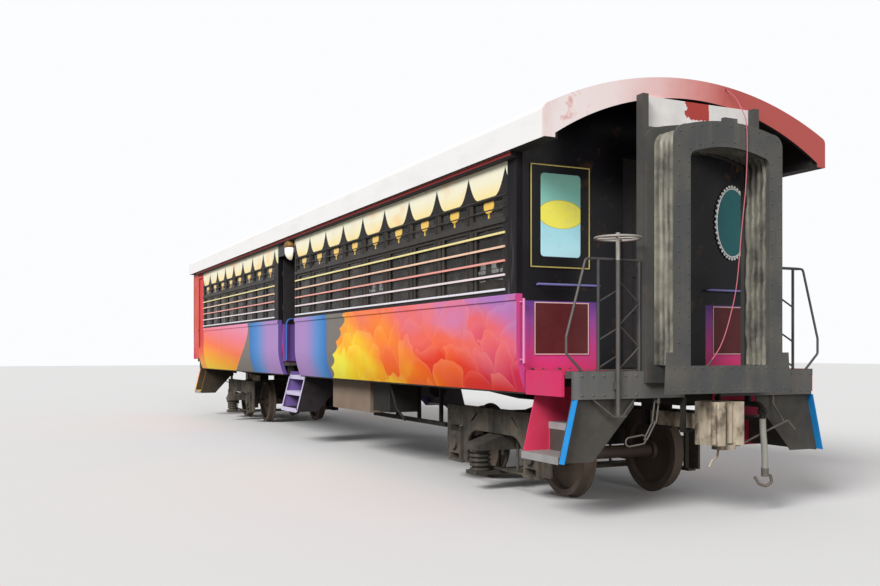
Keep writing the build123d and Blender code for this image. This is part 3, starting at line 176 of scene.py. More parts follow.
def join_rings(shape, first, second):
    """A closed band of faces between two rings of as many points."""
    count = len(first)
    for index in range(count):
        onward = (index + 1) % count
        shape.faces.new((first[index], first[onward], second[onward], second[index]))


def sheet_mesh(rows):
    """A sheet through rows of points, all rows with as many."""
    width = len(rows[0])
    faces = []
    for row in range(len(rows) - 1):
        for column in range(width - 1):
            first = row * width + column
            faces.append((first, first + 1, first + width + 1, first + width))
    mesh = bpy.data.meshes.new("mesh")
    mesh.from_pydata([point for row in rows for point in row], [], faces)
    return mesh


def bars_mesh(bars, bevel=0.002):
    """Square bars between pairs of corners, with their edges eased."""
    shape = bmesh.new()
    for low, high in bars:
        low, high = Vector(low), Vector(high)
        size = Matrix.Diagonal((*[abs(edge) for edge in high - low], 1))
        bmesh.ops.create_cube(shape, size=1.0, matrix=Matrix.Translation((low + high) / 2) @ size)
    bmesh.ops.bevel(shape, geom=shape.edges[:], offset=bevel, segments=1, affect="EDGES")
    return to_mesh(shape)


def rivets_mesh(places, axis, radius, rise):
    """Round heads at each place, flattened along the axis 0, 1 or 2 that their face looks along."""
    shape = bmesh.new()
    size = [radius] * 3
    size[axis] = rise
    for place in places:
        matrix = Matrix.Translation(place) @ Matrix.Diagonal((*size, 1))
        bmesh.ops.create_uvsphere(shape, u_segments=8, v_segments=6, radius=1.0, matrix=matrix)
    return to_mesh(shape)


def tube_mesh(points, radius, closed=False, sides=10):
    """A round tube along a list of points."""
    points = [Vector(point) for point in points]
    count = len(points)
    shape = bmesh.new()
    rings = []
    for index, point in enumerate(points):
        before = points[index - 1] if index or closed else point
        after = points[(index + 1) % count] if index < count - 1 or closed else point
        along = (after - before).normalized()
        across = along.cross(Vector((0.31, 0.05, 0.02))).normalized()
        up = along.cross(across)
        ring = []
        for side in range(sides):
            turn = 2 * pi * side / sides
            ring.append(shape.verts.new(point + radius * (cos(turn) * across + sin(turn) * up)))
        rings.append(ring)
    for first, second in list(zip(rings, rings[1:])) + ([(rings[-1], rings[0])] if closed else []):
        join_rings(shape, first, second)
    if not closed:
        shape.faces.new(rings[0])
        shape.faces.new(list(reversed(rings[-1])))
    return to_mesh(shape)


def bend(start, corner, end, radius, steps=6):
    """Points round a corner between two runs, from the place where the arc starts to where it ends."""
    start, corner, end = Vector(start), Vector(corner), Vector(end)
    first = corner + (start - corner).normalized() * radius
    last = corner + (end - corner).normalized() * radius
    points = []
    for step in range(steps + 1):
        share = step / steps
        points.append(tuple((1 - share) ** 2 * first + 2 * share * (1 - share) * corner + share ** 2 * last))
    return points


# Gangway bellows: one pleated canvas at each end, from the post frame to the face plate
face_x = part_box("coupler_near")[1][0]
bellows_low, bellows_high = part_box("gangway_bellows")
bellows_start = face_x - 0.305
bellows_end = face_x - 0.04
bellows_half = bellows_high[1] - 0.004
bellows_top = 3.3
bellows_foot = bellows_low[2] + 0.005
pleat_depth = 0.145
pleats = 4
pleat_steps = 6


def arch(half, top, corner, rise):
    """Points (y, z) up one side of the gangway's arch, over its crown and down the other side."""
    side_steps, corner_steps, crown_steps = 30, 7, 18
    left = []
    for step in range(side_steps):
        left.append((-half, bellows_foot + (top - corner - bellows_foot) * step / side_steps))
    for step in range(corner_steps):
        turn = pi / 2 * step / corner_steps
        left.append((-half + corner * (1 - cos(turn)), top - corner * (1 - sin(turn))))
    reach = half - corner
    crown = []
    for step in range(crown_steps + 1):
        y = -reach + 2 * reach * step / crown_steps
        crown.append((y, top + rise * (1 - (y / reach) ** 2)))
    return left + crown + [(-y, z) for y, z in reversed(left)]


def bellows(end, turn):
    """The pleated canvas of one end, with the loose folds that old canvas has."""
    rows = []
    steps = pleats * pleat_steps
    for step in range(steps + 1):
        fold = (1 - cos(2 * pi * step / pleat_steps)) / 2
        x = bellows_start + (bellows_end - bellows_start) * step / steps
        depth = pleat_depth * fold
        outline = arch(bellows_half - depth, bellows_top - depth * 1.25, 0.11 - 0.04 * fold, 0.055)
        row = []
        loose = sin(pi * step / steps)
        for index, (y, z) in enumerate(outline):
            crease = 0.007 * sin(0.83 * index + 1.9 * step) + 0.005 * sin(1.71 * index - 0.8 * step)
            shift = 0.006 * loose * sin(0.47 * index + step)
            inward = 1 - fold * crease * 2.5
            row.append((turn * (x + shift), turn * y * inward, z - fold * abs(crease) * 1.5))
        rows.append(row)
    cloth = add_piece(f"bellows_{end}", sheet_mesh(rows), True)
    return cloth


bellows_near = bellows("near", 1)
bellows("far", -1)
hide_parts("gangway_bellows")

# Seats: a crowned squab and a leaning back cushion on each stand
seat_length = 0.96
first_seat = 1.4
seat_rows = [start - first_seat - index * bay_pitch for start, bays in runs for index in range(bays - 2)]


def swell(value, power):
    """A number from -1 to 1 raised to a power, with its sign kept."""
    return abs(value) ** power * (1 if value >= 0 else -1)


def cushion(shape, place, size, lean):
    """A stuffed form with rounded edges, pulled in along its sides, with a sewn channel across its middle."""
    rings, segments = 10, 28
    grid = []
    for ring in range(rings + 1):
        tilt = -pi / 2 + pi * ring / rings
        flat = abs(cos(tilt)) ** 0.42
        row = []
        for segment in range(segments):
            turn = 2 * pi * segment / segments
            x = flat * swell(cos(turn), 0.3)
            y = flat * swell(sin(turn), 0.3)
            z = swell(sin(tilt), 0.75)
            x *= 1 - 0.035 * (1 - y * y)
            y *= 1 - 0.02 * (1 - x * x)
            if z > 0:
                z *= 1 - 0.16 * (x * x + y * y) / 2
                z -= 0.22 * max(0.0, 1 - abs(y) * 9)
            point = Vector((x * size[0] / 2, y * size[1] / 2, z * size[2] / 2))
            row.append(shape.verts.new(Vector(place) + Matrix.Rotation(lean, 3, "Y") @ point))
        grid.append(row)
    for first, second in zip(grid, grid[1:]):
        join_rings(shape, first, second)
    bmesh.ops.remove_doubles(shape, verts=shape.verts, dist=0.0004)


cushions = bmesh.new()
stands = []
for x in seat_rows:
    for side in (-1, 1):
        y = side * (inner_half_width - 0.008 - seat_length / 2)
        cushion(cushions, (x + 0.215, y, floor_top_z + 0.392), (0.41, seat_length - 0.02, 0.1), 0.0)
        cushion(cushions, (x - 0.022, y, floor_top_z + 0.7), (0.075, seat_length - 0.02, 0.52), radians(-10))
        # Each stand is a board under the squab, a post and a foot: x and z spans, and half its width
        for x0, x1, z0, z1, half in ((-0.005, 0.4, 0.34, 0.358, seat_length / 2 - 0.01),
                                     (0.06, 0.3, 0.0, 0.345, 0.025), (0.04, 0.32, 0.0, 0.014, 0.055)):
            stands.append(((x + x0, y - half, floor_top_z + z0), (x + x1, y + half, floor_top_z + z1)))
seat_cushions = add_piece("seat_cushions", to_mesh(cushions), True)
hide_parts("seats")
add_piece("seat_stands", bars_mesh(stands))

# Sashes inside the window openings, and the thin rails across the fanlights
sash_y = (1.4595, 1.4755)
sash_width = 0.03
sash_gap = 0.002
stile_offset, stile_width = 0.062, 0.045
pane_heights = ((sill_z + sash_gap, transom_z - sash_gap),
                (transom_z + transom_height + sash_gap, light_top_z - sash_gap))
fan_rail_rows = ((2.604, 0.042, 0.011), (2.738, 0.012, 0.008), (2.846, 0.014, 0.008))
sashes, fan_rails = [], []
for start, bays in runs:
    for side in (-1, 1):
        rects = []
        for bay in range(bays):
            high = start - bay * bay_pitch - sash_gap
            low = high - (bay_pitch - post_width) + 2 * sash_gap
            inner_low, inner_high = low + sash_width, high - sash_width
            for z0, z1 in pane_heights:
                rects += [(low, z0, inner_low, z1), (inner_high, z0, high, z1),
                          (inner_low, z1 - sash_width, inner_high, z1),
                          (inner_low, z0, inner_high, z0 + sash_width)]
            stile = low + stile_offset
            rects.append((stile, sill_z + sash_width, stile + stile_width, transom_z - sash_width))
        sashes += [((x0, side * sash_y[0], z0), (x1, side * sash_y[1], z1)) for x0, z0, x1, z1 in rects]
        end = start - bays * bay_pitch
        for z, height, proud in fan_rail_rows:
            fan_rails.append(((end + 0.02, side * side_half_width, z),
                              (start + 0.05, side * (side_half_width + proud), z + height)))
add_piece("window_sashes", bars_mesh(sashes, 0.003))
add_piece("fan_rails", bars_mesh(fan_rails))

# Oval lamp glasses over the middle entrances, with their caps: only the halves outside the wall
lamp_x, lamp_z = 0.155, 3.0
for name, shift, half in (("lamp_glasses", 0.0, (0.112, 0.1, 0.15)),
                          ("lamp_caps", 0.075, (0.122, 0.108, 0.085))):
    shape = bmesh.new()
    for side in (-1, 1):
        place = Matrix.Translation((lamp_x, side * side_half_width, lamp_z + shift))
        ball = bmesh.ops.create_uvsphere(shape, u_segments=24, v_segments=16, radius=1.0,
                                         matrix=place @ Matrix.Diagonal((*half, 1)))
        behind = [vert for vert in ball["verts"] if abs(vert.co.y) < side_half_width - 0.004]
        bmesh.ops.delete(shape, geom=behind, context="VERTS")
    add_piece(name, to_mesh(shape), True)

# Handrails on the folded entrance doors: up the leaf's outer edge, then level along its waist
door_face_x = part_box("mid_door_left")[1][0]
handrail_x = door_face_x + 0.03
handrail_root_x = door_face_x - 0.002
edge_y, inner_y = 1.37, 0.62
foot_z, waist_z = 1.3, 1.967
root_bend, knee_bend = 0.028, 0.09
for side, name in ((-1, "left"), (1, "right")):
    foot = (handrail_x, side * edge_y, foot_z)
    knee = (handrail_x, side * edge_y, waist_z)
    hand = (handrail_x, side * inner_y, waist_z)
    route = [(handrail_root_x, *foot[1:])] + bend((door_face_x, *foot[1:]), foot, knee, root_bend, 4)
    route += bend(foot, knee, hand, knee_bend) + bend(knee, hand, (door_face_x, *hand[1:]), root_bend, 4)
    route.append((handrail_root_x, *hand[1:]))
    rail = tube_mesh(route, 0.014)
    add_piece(f"door_handrail_{name}", rail, True, f"mid_door_{name}")

# Pale edges on the middle steps' stringers, and tread fronts on all steps
step_top_y, step_outer_y = 1.31, 1.44
edge_foot_z, edge_top_z = 0.516, 1.036
lowest_tread_z = 0.565
tread_rise = 0.25
tread_going = 0.28
nosing_height = 0.035
stringer_middle = 0.012
mid_steps_low, mid_steps_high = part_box("steps_mid")
mid_span = (mid_steps_low[0] + stringer_middle, mid_steps_high[0] - stringer_middle)


def slanted_strip(shape, x0, x1, side, thick):
    """A plate on the slanting outer edge of a stringer."""
    corners = []
    for out in (0.0005, thick):
        for y, z in ((step_outer_y, edge_foot_z), (step_top_y, edge_top_z)):
            for x in (x0, x1):
                corners.append(shape.verts.new((x, side * (y + out), z)))
    for face in ((0, 1, 3, 2), (4, 5, 7, 6), (0, 1, 5, 4), (2, 3, 7, 6), (0, 2, 6, 4), (1, 3, 7, 5)):
        shape.faces.new([corners[index] for index in face])


edges = bmesh.new()
for x in mid_span:
    for side in (-1, 1):
        slanted_strip(edges, x - 0.02, x + 0.02, side, 0.006)
add_piece("mid_step_edges", to_mesh(edges))


def nosings(name, spans, treads, wide=False):
    """Folded tread fronts between pairs of stringers. Wide ones bring their treads out to the edges."""
    bars = []
    slope = (step_outer_y - step_top_y) / (edge_top_z - edge_foot_z)
    for x0, x1 in spans:
        for index in range(treads):
            y = step_outer_y + 0.005 - index * tread_going
            z = lowest_tread_z + index * tread_rise
            out = max(y, step_outer_y - slope * (z - edge_foot_z) - 0.004) if wide else y
            for side in (-1, 1):
                bars.append(((x0, side * out, z - 0.062), (x1, side * (out + 0.006), z + 0.001)))
                if out > y:
                    bars.append(((x0, side * (y - 0.002), z - 0.004), (x1, side * (out + 0.001), z + 0.0005)))
    add_piece(name, bars_mesh(bars, 0.0015))


nosings("mid_nosings", [mid_span], 3, True)
near_steps_low, near_steps_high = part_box("steps_near")
near_span = (near_steps_low[0] + stringer_middle, near_steps_high[0] - 0.085)
nosings("end_nosings", [near_span, (-near_span[1], -near_span[0])], 2)

# The sign, oval plate and panel trim on the near end wall
sign_y, sign_z = (-1.348, -0.722), (2.187, 3.109)
plate_y, plate_z = (-1.243, -0.822), (2.286, 3.032)
panel_y, panel_z = (0.727, 1.304), (1.409, 1.88)
plate_back_x = near_wall_x + 0.0055
oval_x = near_wall_x + 0.012
oval_middle, oval_half = (0.963, 2.71), (0.205, 0.346)
rim_steps, bead_count = 72, 40


def frame_bars(y_span, z_span, x0, x1, width):
    """Four bars round a rectangle on the end wall."""
    (y0, y1), (z0, z1) = y_span, z_span
    rects = ((y0, z0, y1, z0 + width), (y0, z1 - width, y1, z1),
             (y0, z0 + width, y0 + width, z1 - width), (y1 - width, z0 + width, y1, z1 - width))
    return [((x0, ya, za), (x1, yb, zb)) for ya, za, yb, zb in rects]


def rounded_plate(shape, y_span, z_span, x0, x1, corner, ease=0.004):
    """A plate with rounded corners and an eased front edge, standing on the end wall."""
    (y0, y1), (z0, z1) = y_span, z_span
    (left, right), (low, high) = (y0 + corner, y1 - corner), (z0 + corner, z1 - corner)
    outline = []
    for quarter, (y, z) in enumerate(((right, high), (left, high), (left, low), (right, low))):
        for step in range(7):
            turn = pi / 2 * (quarter + step / 6)
            outline.append((y + corner * cos(turn), z + corner * sin(turn)))
    back = [shape.verts.new((x0, y, z)) for y, z in outline]
    rim = [shape.verts.new((x1 - 0.002, y, z)) for y, z in outline]
    front = []
    for y, z in outline:
        y += ease if y < (y0 + y1) / 2 else -ease
        z += ease if z < (z0 + z1) / 2 else -ease
        front.append(shape.verts.new((x1, y, z)))
    join_rings(shape, back, rim)
    join_rings(shape, rim, front)
    shape.faces.new(back)
    shape.faces.new(list(reversed(front)))


def oval_point(turn, out):
    """A place round the oval plate, at a distance out from its edge."""
    return (oval_x, oval_middle[0] + (oval_half[0] + out) * cos(turn),
            oval_middle[1] + (oval_half[1] + out) * sin(turn))


frame_bar = frame_bars(sign_y, sign_z, near_wall_x + 0.0115, near_wall_x + 0.0155, 0.011)
add_piece("sign_frame", bars_mesh(frame_bar, 0.001))
plate = bmesh.new()
rounded_plate(plate, plate_y, plate_z, plate_back_x, near_wall_x + 0.014, 0.035)
add_piece("sign_panel", to_mesh(plate))
trim = []
for span in ((-panel_y[1], -panel_y[0]), panel_y):
    trim += frame_bars(span, panel_z, plate_back_x, near_wall_x + 0.0085, 0.01)
add_piece("panel_trim", bars_mesh(trim, 0.001))
rim_points = [oval_point(2 * pi * step / rim_steps, -0.008) for step in range(rim_steps)]
beads = []
for bead in range(bead_count):
    turn = 2 * pi * bead / bead_count
    beads.append(oval_point(turn, 0.004 + 0.01 * abs(sin(turn)) ** 12))
add_piece("oval_rim", tube_mesh(rim_points, 0.011, True), True)
add_piece("oval_beads", rivets_mesh(beads, 0, 0.016, 0.009), True)

# Rivets on the gangway face plates, and bolts on the headstocks and bogie side plates
rivet_spacing = 0.105
sill_top_z = 1.46
headstock_face_x = 7.785
bogie_centre_x = 5.595
rivets = []
for half, top in ((0.458, 3.155), (0.556, 3.29)):
    line = arch(half, top, 0.09, 0.058)
    travelled = 0.0
    for before, after in zip(line, line[1:]):
        travelled += (Vector(after) - Vector(before)).length
        if travelled >= rivet_spacing and after[1] > sill_top_z:
            rivets.append((face_x, after[0], after[1]))
            travelled = 0.0
rivets += [(face_x, -0.6 + 0.1 * column, z) for column in range(13) for z in (1.115, 1.3)]
rivets += [(-x, y, z) for x, y, z in rivets]
add_piece("face_rivets", rivets_mesh(rivets, 0, 0.011, 0.005), True)
bolts = [(turn * headstock_face_x, side * y, z) for y in (0.72, 0.83, 1.05, 1.16, 1.27)
         for z in (1.075, 1.235) for turn in (-1, 1) for side in (-1, 1)]
add_piece("headstock_bolts", rivets_mesh(bolts, 0, 0.013, 0.007), True)
for end, centre in (("near", bogie_centre_x), ("far", -bogie_centre_x)):
    bolts = []
    for side in (-1, 1):
        places = [(x, 0.79) for x in (-1.04, -0.9, -0.76, -0.3, -0.12, 0.12, 0.3, 0.76, 0.9, 1.04)]
        places += [(x, z) for x in (-1.07, -0.59, 0.59, 1.07) for z in (0.28, 0.36, 0.44)]
        bolts += [(centre + x, side * 0.9, z) for x, z in places]
    heads = rivets_mesh(bolts, 1, 0.014, 0.01)
    add_piece(f"bogie_bolts_{end}", heads, True, f"bogie_{end}")


# Materials
def worked(operation, swapped=False):
    """A method that combines a number with others in one Math node."""
    def method(self, *others):
        values = (*others, self) if swapped else (self, *others)
        return self.shader_nodes.maths(operation, *values)
    return method


class Number:
    """A number that varies over a surface. What is worked out from it becomes shader nodes.
    A comparison gives 1 or 0, so & is 1 where both hold and | is 1 where either does."""

    def __init__(self, shader_nodes, socket):
        self.shader_nodes = shader_nodes
        self.socket = socket

    __add__ = __radd__ = worked("ADD")
    __sub__ = worked("SUBTRACT")
    __rsub__ = worked("SUBTRACT", swapped=True)
    __mul__ = __and__ = worked("MULTIPLY")
    __truediv__ = worked("DIVIDE")
    __pow__ = worked("POWER")
    __mod__ = worked("MODULO")
    __abs__ = worked("ABSOLUTE")
    __gt__ = worked("GREATER_THAN")
    __lt__ = worked("LESS_THAN")
    __or__ = at_least = worked("MAXIMUM")
    sine = worked("SINE")
    sign = worked("SIGN")
    root = worked("SQRT")
    floor = worked("FLOOR")
    fraction = worked("FRACT")
    bounce = worked("PINGPONG")


class ShaderNodes:
    """The shader nodes of a material or a world, with short names for the kinds that are used here."""

    def __init__(self, owner):
        owner.use_nodes = True
        self.tree = owner.node_tree

    def add(self, kind, settings=None, **inputs):
        """A new shader node, with values or other nodes' results for its inputs."""
        node = self.tree.nodes.new("ShaderNode" + kind)
        for name, value in (settings or {}).items():
            setattr(node, name, value)
        for name, value in inputs.items():
            self.set(node.inputs[name], value)
        return node

    def set(self, socket, value):
        """Gives an input a number, a colour or another node's result."""
        if isinstance(value, Number):
            value = value.socket
        if isinstance(value, bpy.types.NodeSocket):
            self.tree.links.new(value, socket)
        elif isinstance(value, tuple) and len(value) == 3 and socket.type == "RGBA":
            socket.default_value = (*value, 1)
        else:
            socket.default_value = value

    def fill(self, node, places, *values):
        """Sets a node's inputs at some places."""
        for place, value in zip(places, values):
            self.set(node.inputs[place], value)
        return node

    def maths(self, operation, *values):
        """A Math node's result, such as ADD, MULTIPLY, GREATER_THAN or SINE."""
        node = self.add("Math", {"operation": operation})
        return Number(self, self.fill(node, (0, 1), *values).outputs[0])

    def span(self, value, low, high, out_low=0.0, out_high=1.0):
        """The value's place between two bounds, held within them."""
        node = self.fill(self.add("MapRange"), range(5), value, low, high, out_low, out_high)
        return Number(self, node.outputs[0])

    def choose(self, share, first, second):
        """One number for a share of 0, another for 1."""
        return Number(self, self.fill(self.add("Mix"), (0, 2, 3), share, first, second).outputs[0])

    def mix(self, share, first, second):
        """The second colour over the first, by a share from 0 to 1."""
        node = self.add("Mix", {"data_type": "RGBA"})
        return self.fill(node, (0, 6, 7), share, first, second).outputs[2]

    def seen(self):
        """1 for what the camera, a reflection or glass shows, and 0 for light that falls on other things."""
        rays = self.add("LightPath").outputs
        camera, gloss, through = [Number(self, rays[f"Is {ray} Ray"])
                                  for ray in ("Camera", "Glossy", "Transmission")]
        return camera | gloss | through


class Paint(ShaderNodes):
    """One procedural material."""

    def __init__(self, name, roughness=0.5, metallic=0.0, shine=0.12):
        self.material = bpy.data.materials.new(name)
        super().__init__(self.material)
        self.shader = self.tree.nodes["Principled BSDF"]
        for name, value in (("Roughness", roughness), ("Metallic", metallic), ("Specular IOR Level", shine)):
            self.shader.inputs[name].default_value = value
        self.place = self.add("TexCoord").outputs["Object"]
        split = self.add("SeparateXYZ", Vector=self.place)
        self.x, self.y, self.z = [Number(self, socket) for socket in split.outputs]

    def ramp(self, value, stops, smooth=True):
        """A colour for a value, from a table of (value, colour)."""
        node = self.add("ValToRGB")
        node.color_ramp.interpolation = "LINEAR" if smooth else "CONSTANT"
        elements = node.color_ramp.elements
        while len(elements) < len(stops):
            elements.new(0.5)
        for element, (place, colour) in zip(elements, stops):
            element.position = place
            element.color = (*colour, 1)
        self.set(node.inputs[0], value)
        return node.outputs[0]

    def noise(self, scale, detail=4.0, roughness=0.6, stretch=None):
        """Cloudy noise, drawn out along an axis by a stretch of (x, y, z)."""
        vector = self.place
        if stretch:
            vector = self.add("Mapping", Vector=self.place, Scale=stretch).outputs[0]
        node = self.add("TexNoise", Vector=vector, Scale=scale, Detail=detail, Roughness=roughness)
        return Number(self, node.outputs["Fac"])

    def clouds(self, first, second, scale, detail=4.0):
        """Two colours that run into each other in clouds."""
        return self.mix(self.noise(scale, detail), first, second)

    def patches(self, scale, detail, low, high, share, stretch=None):
        """A share in patches, from 0 where the noise is low to the whole share where it is high."""
        return self.span(self.noise(scale, detail, stretch=stretch), low, high, 0.0, share)

    def facing(self, axis):
        """The face's normal along axis 0, 1 or 2."""
        normal = self.add("NewGeometry").outputs["True Normal"]
        return Number(self, self.add("SeparateXYZ", Vector=normal).outputs[axis])

    def outward(self, axis):
        """How far a face looks away from the coach's middle, along axis 0 or 1."""
        return self.facing(axis) * (self.x, self.y)[axis].sign()

    def bump(self, height, strength, distance):
        """A fine relief in the shading."""
        node = self.add("Bump", Height=height, Strength=strength, Distance=distance)
        self.set(self.shader.inputs["Normal"], node.outputs[0])

    def finish(self, colour, roughness=None):
        """The finished material."""
        self.set(self.shader.inputs["Base Color"], colour)
        if roughness is not None:
            self.set(self.shader.inputs["Roughness"], roughness)
        return self.material


def weathered(name, colour, dirt, amount=0.35, roughness=0.5, metallic=0.0, grain=40.0, bump=0.12):
    """Paint or metal in one colour with cloudy dirt, fine grain and streaks."""
    paint = Paint(name, roughness, metallic)
    cloud = paint.patches(2.2, 6.0, 0.42, 0.72, amount)
    streak = paint.patches(9.0, 3.0, 0.55, 0.8, amount * 0.7, stretch=(1, 1, 0.12))
    speck = paint.noise(grain, 3.0)
    shade = paint.mix(streak, paint.mix(cloud, colour, dirt), dirt)
    shade = paint.mix(paint.span(speck, 0.62, 0.75, 0.0, 0.25), shade, tuple(c * 0.6 for c in colour))
    paint.bump(speck, bump, 0.004)
    return paint.finish(shade, paint.span(cloud, 0.0, 1.0, roughness, 0.95))


def show(material, *names):
    """Gives a material to CAD nodes or to new pieces."""
    for name in names:
        piece = nodes[name] if name in nodes else bpy.data.objects[name]
        piece.data.materials.clear()
        piece.data.materials.append(material)


# Colours that more than one paint uses, and the places along the coach where the sides' bands change
lilac = (0.42, 0.26, 0.55)
sky_blue = (0.1, 0.28, 0.62)
deep_blue = (0.04, 0.19, 0.52)
near_black = (0.01, 0.009, 0.011)
worn_black = (0.035, 0.031, 0.028)
steel_grey = (0.06, 0.06, 0.062)
rubbed_grey = (0.15, 0.135, 0.12)
near_cool_end = 1.85
warm_start = 1.82
far_cool_start = -2.45
far_warm_end = -2.55
entrance_half = 2.0


def scale_rise(u, row):
    """The height of a row's round scales across their width, and the column that a place falls in."""
    placed = u + row % 2.0 * 0.5
    from_middle = (placed.fraction() - 0.5) * 2.0
    return (1.0 - abs(from_middle) ** 2.4).root(), placed.floor()


def from_post(paint):
    """The distance along the coach from the middle of the nearest window post."""
    near, far = [start + post_width / 2 - paint.x for start, bays in runs]
    return paint.choose(paint.x > 0.0, far, near).bounce(bay_pitch / 2)


def scale_colours(paint, height):
    """Rows of overlapping rounded scales, each with a tone of its own and a lighter rim.
    They run from yellow to red along the coach, and towards pink and lilac at their top."""
    x, z = paint.x, paint.z
    along = paint.span(x, 1.8, near_wall_x)
    wave = (x * 5.2 + z * 9.0).sine() * 0.035 + (x * 2.3 + z * -6.0).sine() * 0.03
    ripple = paint.add("TexNoise", Vector=paint.place, Scale=1.7, Detail=2.0).outputs["Color"]
    ripple = paint.add("SeparateColor", Color=ripple).outputs
    scale_width, scale_height = 0.58, 0.225
    u = (x + Number(paint, ripple[0]) * 1.1) / scale_width
    v = (z + Number(paint, ripple[1]) * 0.6) / scale_height
    row = v.floor()
    upper_row = row + 1.0
    rise, column = scale_rise(u, row)
    upper_rise, upper_column = scale_rise(u, upper_row)
    in_row = v.fraction() < rise
    own_row = paint.choose(in_row, upper_row, row)
    own_column = paint.choose(in_row, upper_column, column)
    own_rise = paint.choose(in_row, upper_rise, rise)
    spot = paint.add("CombineXYZ", X=own_column, Y=own_row).outputs[0]
    tone = paint.add("TexWhiteNoise", {"noise_dimensions": "2D"}, Vector=spot).outputs["Value"]
    rim = paint.span(own_row + own_rise - v, 0.0, 1.3, 0.5, -0.5)
    jitter = (Number(paint, tone) - 0.5) * 0.24 - rim * 0.07
    phase = along + wave + jitter
    low = paint.ramp(phase, [
        (0.0, (1.0, 0.9, 0.08)), (0.2, (1.0, 0.76, 0.02)), (0.38, (1.0, 0.42, 0.015)),
        (0.54, (0.97, 0.17, 0.012)), (0.72, (0.86, 0.06, 0.02)), (0.9, (0.76, 0.028, 0.035)),
        (1.0, (0.7, 0.03, 0.08))])
    middle = paint.ramp(phase, [
        (0.0, (1.0, 0.86, 0.06)), (0.14, (1.0, 0.56, 0.03)), (0.32, (0.99, 0.3, 0.03)),
        (0.56, (0.93, 0.15, 0.05)), (0.8, (0.87, 0.15, 0.12)), (1.0, (0.8, 0.15, 0.22))])
    high = paint.ramp(phase, [
        (0.0, (1.0, 0.86, 0.08)), (0.09, (1.0, 0.52, 0.05)), (0.22, (0.98, 0.3, 0.06)),
        (0.42, (0.92, 0.19, 0.11)), (0.6, (0.84, 0.2, 0.25)), (0.78, (0.66, 0.22, 0.44)),
        (1.0, (0.44, 0.2, 0.52))])
    lift = height + wave * 2.0 - jitter * 1.2
    warm = paint.mix(paint.span(lift, 0.18, 0.45), low, middle)
    warm = paint.mix(paint.span(lift, 0.55, 0.88), warm, high)
    return paint.mix(paint.span(rim, 0.2, 0.5, 0.0, 0.05), warm, (1.0, 0.78, 0.62))


